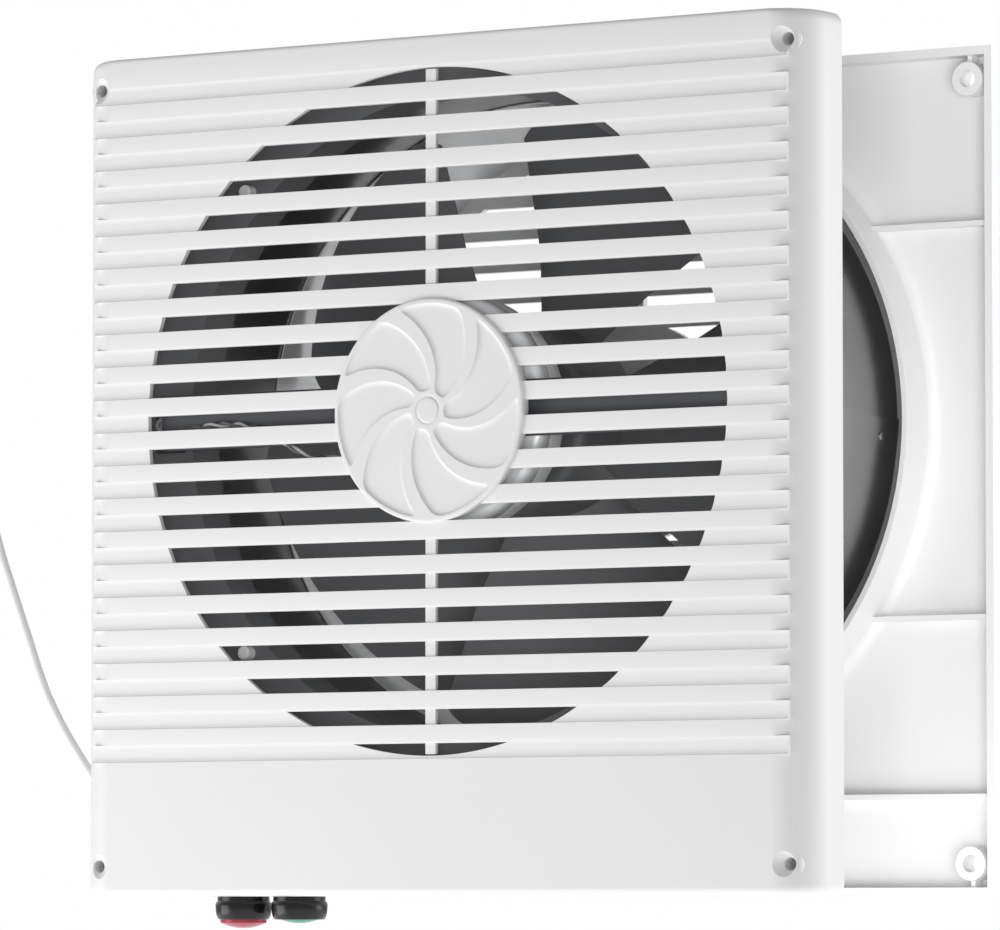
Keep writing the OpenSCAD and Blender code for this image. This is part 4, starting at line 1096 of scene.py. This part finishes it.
class FAN_OT_frame(bpy.types.Operator):
    """Finishes the frame plate, the motor bracket and the wiring cover"""
    bl_idname = "fan.frame"
    bl_label = "Fan frame"

    def execute(self, context):
        softened("fan_frame", 0.35, dark_moulding(), "front_unit")
        (side, _, _), (_, _, top) = box_of("fan_frame")
        spans = ((-TOP_LIP_HALF, TOP_LIP_HALF, top - LIP_LAP, top + LIP_TALL),
                 (side - LIP_WIDE, side + LIP_LAP, LIP_LOW, LIP_HIGH))
        lips = [block("lip", (x0, PLATE_FRONT, z0), (x1, PLATE_BACK, z1), dark_moulding(), 0.4)
                for x0, x1, z0, z1 in spans]
        on_body(joined("frame_lips", lips), "front_unit")
        cap = ([(0, -10.3)] + arc(1.75, -9.6, 0.7, -90, 0, 6)
               + [(2.45, -6.2), (2.25, PLATE_FRONT), (0, PLATE_FRONT)])
        places = [(x, 0, DUCT_Z + z) for x in (-STUD_X, STUD_X) for z in (-STUD_Z, STUD_Z)]
        cap = turned("stud", cap, white_moulding(), segments=32)
        on_body(copies("frame_studs", cap, places, white_moulding()), "front_unit")
        softened("motor_bracket", 0.4, bracket_paint(), "front_unit", 3)
        softened("wiring_plate", 0.3, dark_moulding(), "front_unit")
        softened("terminal_block", 0.3,
                 finish("terminal_moulding", (0.66, 0.62, 0.50), 0.45, grain=900), "front_unit")
        softened("capacitor", 0.5,
                 finish("capacitor_film", (0.03, 0.045, 0.06), 0.3, grain=700), "front_unit")
        return {"FINISHED"}


class FAN_OT_motor(bpy.types.Operator):
    """Makes the motor can, its shaft and the twisted leads"""
    bl_idname = "fan.motor"
    bl_label = "Motor"

    def execute(self, context):
        r, front, seam, back = fan().motor * 1000, CAN_FRONT, CAN_SEAM, CAN_BACK
        seat = SEAT_R + SEAT_WALL
        shell = ([(0, front), (12, front), (13, front + 0.35), (r - 4, front + 0.35)]
                 + arc(r - 3, front + 3.3, 3, -90, 0, 8)
                 + [(r, seam - 0.5), (r - 0.3, seam), (r - CAN_WALL, seam),
                    (r - CAN_WALL, front + 2.5), (r - 2.5, front + 1.4), (seat, front + CAN_WALL),
                    (seat, front + SEAT_DEEP), (SEAT_R, front + SEAT_DEEP),
                    (SEAT_R, front + CAN_WALL), (0, front + CAN_WALL)])
        on_body(turned("motor_front", shell, motor_paint(), AXIS, segments=128), "front_unit",
                "motor_front_shell")
        can = ([(r - CAN_WALL, seam), (r - 0.3, seam), (r, seam + 0.5)]
               + arc(r - 3, back - 3, 3, 0, 90, 8)
               + [(16, back), (15, back - 0.4), (5.5, back - 0.4), (5.5, back - CAN_WALL),
                  (SEAT_R, back - CAN_WALL), (SEAT_R, back - SEAT_DEEP), (seat, back - SEAT_DEEP),
                  (seat, back - CAN_WALL), (r - 3, back - CAN_WALL), (r - CAN_WALL, back - 3)])
        on_body(turned("motor_back", can, motor_paint(), AXIS, segments=128), "front_unit",
                "motor_rear_shell")
        for node, mat in (("motor_stator", finish("winding_varnish", (0.12, 0.06, 0.03), 0.5)),
                          ("motor_rotor", turned_steel()), ("front_bearing", turned_steel()),
                          ("rear_bearing", turned_steel())):
            dress(node, mat)
        smooth(softened("motor_shaft", 0.4, turned_steel(), "fan_rotor"), 40)
        softened("hub_nut", 0.35, zinc(), "fan_rotor")
        self.leads()
        return {"FINISHED"}

    def leads(self):
        """Two leads that twist about their common way."""
        route = spline_through(LEAD_ROUTE, 10)
        mats = (finish("lead_grey", (0.34, 0.34, 0.35), 0.4, grain=500),
                finish("lead_black", (0.08, 0.08, 0.085), 0.35, grain=500))
        for k in (0, 1):
            path, travelled = [], 0.0
            for i, p in enumerate(route):
                ahead = (route[min(i + 1, len(route) - 1)] - route[max(i - 1, 0)]).normalized()
                side = ahead.cross(Vector((0.2, 0.95, 0.1))).normalized()
                up = ahead.cross(side)
                if i:
                    travelled += (p - route[i - 1]).length
                a = travelled / LEAD_TWIST * 2 * math.pi + k * math.pi
                path.append(p + side * (LEAD_APART * math.cos(a))
                            + up * (LEAD_APART * math.sin(a)))
            wire = tube("motor_lead_" + "ab"[k], path, LEAD_R, mats[k], 12)
            if k:
                on_body(wire, "front_unit", slot="lead_sleeving")
            else:
                on_body(wire, "front_unit", "motor_leads")


class FAN_OT_impeller(bpy.types.Operator):
    """Makes the impeller with its pitched blades"""
    bl_idname = "fan.impeller"
    bl_label = "Impeller"

    def execute(self, context):
        front, mat = box_of("impeller")[0][1], dark_moulding()
        r, tip = fan().hub * 1000, fan().tip * 1000
        back = front + HUB_DEPTH
        hub = ([(BORE_R, front), (9, front), (10, front + 0.4), (r - 5, front + 0.4)]
               + arc(r - 4, front + 4.4, 4, -90, 0, 8)
               + [(r, back - 0.3), (r - 0.3, back), (r - HUB_WALL, back),
                  (r - HUB_WALL, front + 4), (r - 4, front + 2.4), (9, front + 2.4),
                  (9, back - 0.4), (8.6, back), (BORE_R, back)])
        hub = turned("impeller_hub", hub, mat, AXIS, segments=128)
        blade = self.blade(front + BLADE_MIDDLE * HUB_DEPTH, r, tip, mat)
        fins = ring("impeller_blades", blade, fan().blades, DUCT_Z, BLADE_FIRST, mat, 40)
        on_body(joined("impeller_look", [hub, fins]), "fan_rotor", "impeller")
        return {"FINISHED"}

    def front_edge(self, radius):
        """The angle of a blade's front edge at one radius."""
        p, q = [Vector((r * math.cos(math.radians(a)), r * math.sin(math.radians(a))))
                for r, a in (EDGE_NEAR, EDGE_FAR)]
        way = (q - p).normalized()
        along = -p.dot(way) + math.sqrt(max(0, radius ** 2 - p.dot(p) + p.dot(way) ** 2))
        spot = p + way * along
        return math.degrees(math.atan2(spot.y, spot.x))

    def blade(self, level, r, tip, mat):
        """One blade about +X: a screw-shaped, slightly bowed sheet with soft corners."""
        points, faces = [], []
        across, outward = BLADE_ACROSS, BLADE_OUTWARD
        for side in (BLADE_HALF, -BLADE_HALF):
            for i in range(across + 1):
                u = i / across
                for j in range(outward + 1):
                    v = j / outward
                    rim = abs(2 * u - 1)
                    soft = 0.05 * max(0, rim - 0.78) ** 2 / 0.048
                    radius = r - BLADE_ROOT + (tip * (1 - soft) - r + BLADE_ROOT) * v
                    low = self.front_edge(radius)
                    angle = math.radians(low + (EDGE_BACK - low) * u)
                    x, z = radius * math.cos(angle), radius * math.sin(angle)
                    reach = 0.5 + 0.5 * min(1.0, 2.4 * v) ** 0.8
                    y = (level + BLADE_PITCH * reach * (2 * u - 1)
                         - BLADE_BOW * math.sin(math.pi * u) * v)
                    thick = 1 - 0.6 * max(rim ** 10, v ** 16)
                    points.append((x, y + side * thick, z))
        n = outward + 1
        sheet = (across + 1) * n
        for i in range(across):
            for j in range(outward):
                k = i * n + j
                faces.append((k, k + 1, k + n + 1, k + n))
                faces.append((sheet + k, sheet + k + n, sheet + k + n + 1, sheet + k + 1))
        for i in range(across):
            for j in (0, outward):
                k = i * n + j
                faces.append((k, k + n, sheet + k + n, sheet + k))
        for j in range(outward):
            for i in (0, across):
                k = i * n + j
                faces.append((k, k + 1, sheet + k + 1, sheet + k))
        return piece("blade", points, faces, mat, 40)


def sheet_tube(name, inner, outer, y0, y1, mat, seam=None, segments=240):
    """A rolled sheet tube about the duct axis; seam is (degrees, thickness) of the overlap."""
    steps = []
    for k in range(segments):
        a = 360 * k / segments
        lap = max(0, 1 - (360 - a) / seam[0]) if seam else 0
        steps.append((a, outer + (seam[1] * lap if seam else 0)))
    if seam:
        steps.append((359.98, outer + seam[1]))
    lip, count = SHEET_LIP, 6
    points, faces = [], []
    for a, r in steps:
        c, s = math.cos(math.radians(a)), math.sin(math.radians(a))
        for radius, y in ((inner, y0), (r - lip, y0), (r, y0 + lip), (r, y1 - lip), (r - lip, y1),
                          (inner, y1)):
            points.append((radius * c, y, DUCT_Z + radius * s))
    for k in range(len(steps)):
        n = (k + 1) % len(steps)
        for i in range(count):
            j = (i + 1) % count
            faces.append((k * count + i, k * count + j, n * count + j, n * count + i))
    return piece(name, points, faces, mat, 30)


class FAN_OT_sleeves(bpy.types.Operator):
    """Makes the dark front sleeve with its riveted seam, and the rear sleeve inside it"""
    bl_idname = "fan.sleeves"
    bl_label = "Sleeves"

    def execute(self, context):
        inner, thick = fan().sleeve * 1000, fan().sheet * 1000
        on_body(sheet_tube("front_sleeve_look", inner, inner + thick, SLEEVE_FROM, SLEEVE_TO,
                           sleeve_sheet(), seam=(SEAM_ANGLE, SEAM_THICK)),
                "front_unit", "front_sleeve")
        nodes = ["seam_rivet_%d" % k for k in (1, 2, 3)]
        spots = [(x - 0.25, y, z) for x, y, z in map(middle_of, nodes)]
        head = [(0, 0.9)] + arc(1.2, 0.5, 0.4, 90, 0, 4) + [(1.6, 0), (0, 0)]
        rivet = turned("rivet", head, sleeve_sheet(), axis="Z", segments=24)
        rivets = copies("seam_rivets", rivet, spots, sleeve_sheet(),
                        (0, math.radians(RIVET_ANGLE), 0))
        on_body(rivets, "front_unit", *nodes)
        (_, front, _), (_, back, _) = box_of("rear_sleeve")
        sheet = finish("rear_sheet", (0.80, 0.81, 0.82), 0.38, metal=0.5, grain=420, bump=0.05,
                       stretch=(1, 0.08, 1))
        liner = sheet_tube("rear_sleeve_tube", inner - SLIDE_FIT - LINER_THICK, inner - SLIDE_FIT,
                           front, back, sheet)
        flange = [(inner - 0.4, back - 1), (FLANGE_R, back - 1), (FLANGE_R, back),
                  (inner - 0.4, back)]
        flange = turned("rear_flange", flange, sheet, AXIS, segments=160)
        on_body(joined("rear_sleeve_look", [liner, flange]), "rear_unit", "rear_sleeve")
        return {"FINISHED"}


# The rear plate's floor from its back, the collar's foot, and the catches on its right side
FLOOR_UP, COLLAR_R, FOOT_ROUND = 2.9, 118.9, 4
CATCH_X, CATCH_THICK = 142.9, 1
CATCHES = (("catch_upper", 60.4, 69.6), ("catch_lower", -36, -29.6))


class FAN_OT_rear(bpy.types.Operator):
    """Finishes the rear plate with its collar and ribs"""
    bl_idname = "fan.rear"
    bl_label = "Rear unit"

    def execute(self, context):
        mat = white_moulding()
        softened("rear_plate", 0.35, mat, "rear_unit")
        floor = box_of("rear_plate")[1][1] - FLOOR_UP
        foot = COLLAR_R + FOOT_ROUND + 0.1
        fillet = ([(COLLAR_R, floor - FOOT_ROUND)]
                  + arc(foot, floor - FOOT_ROUND, FOOT_ROUND, 180, 90, 8)
                  + [(foot, floor + 0.2), (COLLAR_R, floor + 0.2)])
        on_body(turned("collar_fillet", fillet, mat, AXIS, segments=160), "rear_unit")
        for name, z0, z1 in CATCHES:
            on_body(block(name, (CATCH_X, floor - 6.4, z0),
                          (CATCH_X + CATCH_THICK, floor - 1.2, z1), mat, 0.25), "rear_unit")
        return {"FINISHED"}


# Buttons and fasteners

# A cap's dome: its radius at the rim, how far it rises, the radius where its edge rounding starts
CAP_R, CAP_RISE, CAP_FACE, CAP_STEPS = 7.9, 1.9, 7.4, 14
# The bezel's barrel from its mouth to its back: (radius, height)
BEZEL = [(7.98, 0.5)] + arc(8.3, 0.35, 0.3, 180, 270, 4) + [
    (8.6, 0.2), (8.85, 0.6), (9.1, 1.15), (9.3, 1.8), (9.45, 2.6), (9.56, 3.5), (9.6, 4.5),
    (9.58, 5.4), (9.4, 5.9), (9.1, 6.15), (8.9, 6.4), (8.9, 7.9), (6, 7.9), (6, 7.4), (7.98, 7.4)]
# Screws: group, nodes, head radius, head height, length, side of the head, body
SHANK = 1.5
SIDES = ("left", "right")
SCREWS = (
    ("frame_screws", ["frame_screw_%d" % k for k in (1, 2, 3, 4)], 3, 1.7, 10.5, 1, "front_unit"),
    ("bracket_screws", ["bracket_screw_" + s for s in SIDES], 3, 1.7, 4.5, -1, "front_unit"),
    ("motor_screws", ["motor_screw_" + s for s in SIDES], 3, 1.7, 3.2, -1, "front_unit"),
    ("wiring_screws", ["wiring_screw_" + s for s in SIDES], 3, 0.5, 8, 1, "front_unit"),
    ("sleeve_screws", ["sleeve_screw_%d" % k for k in (1, 2, 3)], 2, 1.0, 3, -1, "rear_unit"))


class FAN_OT_buttons(bpy.types.Operator):
    """Makes the red and green push buttons in their black bezels"""
    bl_idname = "fan.buttons"
    bl_label = "Push buttons"

    def execute(self, context):
        for name, tint in (("red", tints().red), ("green", tints().green)):
            gloss = finish(name + "_gloss", tint, 0.20, grain=500, bump=0.01, spread=0.03,
                           specular=0.25, mottle=0.02)
            x, y, _ = middle_of(name + "_bezel")
            on_body(turned(name + "_ring", BEZEL, black_gloss(),
                           (x, y, box_of(name + "_bezel")[0][2]), "Z"),
                    "front_unit", name + "_bezel")
            on_body(turned(name + "_dome", self.cap(), gloss,
                           (x, y, box_of(name + "_button")[0][2]), "Z"),
                    name + "_button", name + "_button")
            softened(name + "_switch", 0.3, black_moulding(), "front_unit")
            softened(name + "_nut", 0.3, zinc(), "front_unit")
            self.spring(name)
        return {"FINISHED"}

    def cap(self):
        """The profile of a button's cap, with its stem."""
        ball = (CAP_R ** 2 + CAP_RISE ** 2) / (2 * CAP_RISE)
        across = [CAP_FACE * k / CAP_STEPS for k in range(CAP_STEPS + 1)]
        return ([(x, ball - math.sqrt(ball * ball - x * x)) for x in across]
                + arc(7.45, 2.1, 0.45, -70, 0, 3)
                + [(CAP_R, 5.0), (7.6, 5.3), (3, 5.3), (3, 17.2), (0, 17.2)])

    def spring(self, name):
        """The return spring: a copy of the CAD node's spring, shown in its place."""
        node = name + "_spring"
        obj = linked("look_" + node, dress(node, turned_steel()).data.copy())
        on_body(obj, "front_unit", node)
        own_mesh(obj)


def pan_head(name, r, tall, length, mat, sign):
    """A pan-head screw along Y; sign is +1 with its head at the back and -1 at the front."""
    profile = ([(0, 0.55 * tall), (0.34 * r, 0.55 * tall), (0.42 * r, tall)]
               + arc(r - 0.5 * tall, 0.5 * tall, 0.5 * tall, 90, 0, 5)
               + [(r, 0), (SHANK, 0), (SHANK, -length + 0.4), (SHANK - 0.4, -length),
                  (0, -length)])
    return turned(name, [(a, sign * b) for a, b in profile], mat, segments=32)


class FAN_OT_screws(bpy.types.Operator):
    """Sets the screws of the frame, bracket, motor, wiring cover and rear sleeve"""
    bl_idname = "fan.screws"
    bl_label = "Screws"

    def execute(self, context):
        mat = zinc()
        for name, nodes, r, tall, length, sign, body in SCREWS:
            places = []
            for node in nodes:
                x, _, z = middle_of(node)
                low, high = box_of(node)
                places.append((x, high[1] - tall if sign > 0 else low[1] + tall, z))
            single = pan_head("screw", r, tall, length, mat, sign)
            on_body(copies(name, single, places, mat), body, *nodes)
        return {"FINISHED"}


class FAN_PT_panel(bpy.types.Panel):
    """Lists the pieces of the fan"""
    bl_label = "Room-to-room fan"
    bl_idname = "FAN_PT_panel"
    bl_space_type = "VIEW_3D"
    bl_region_type = "UI"
    bl_category = "Wall fan"

    def draw(self, context):
        for group in (cover(), fan(), tints()):
            box = self.layout.box()
            for name in group.__annotations__:
                box.prop(group, name)
        for operator in PIECES:
            self.layout.operator(operator.bl_idname)


PIECES = (FAN_OT_stage, FAN_OT_cord, FAN_OT_cover, FAN_OT_medallion, FAN_OT_frame, FAN_OT_motor,
          FAN_OT_impeller, FAN_OT_sleeves, FAN_OT_rear, FAN_OT_buttons, FAN_OT_screws,
          FAN_OT_inner_light)
CLASSES = (CoverSizes, FanSizes, FanColours, *PIECES, FAN_PT_panel)


def register():
    for kind in CLASSES:
        bpy.utils.register_class(kind)
    bpy.types.Scene.fan_cover = PointerProperty(type=CoverSizes)
    bpy.types.Scene.fan_parts = PointerProperty(type=FanSizes)
    bpy.types.Scene.fan_colours = PointerProperty(type=FanColours)


def unregister():
    del bpy.types.Scene.fan_cover, bpy.types.Scene.fan_parts, bpy.types.Scene.fan_colours
    for kind in reversed(CLASSES):
        bpy.utils.unregister_class(kind)


def main():
    register()
    for operator in PIECES:
        group, name = operator.bl_idname.split(".")
        getattr(getattr(bpy.ops, group), name)()


if __name__ == "__main__":
    main()
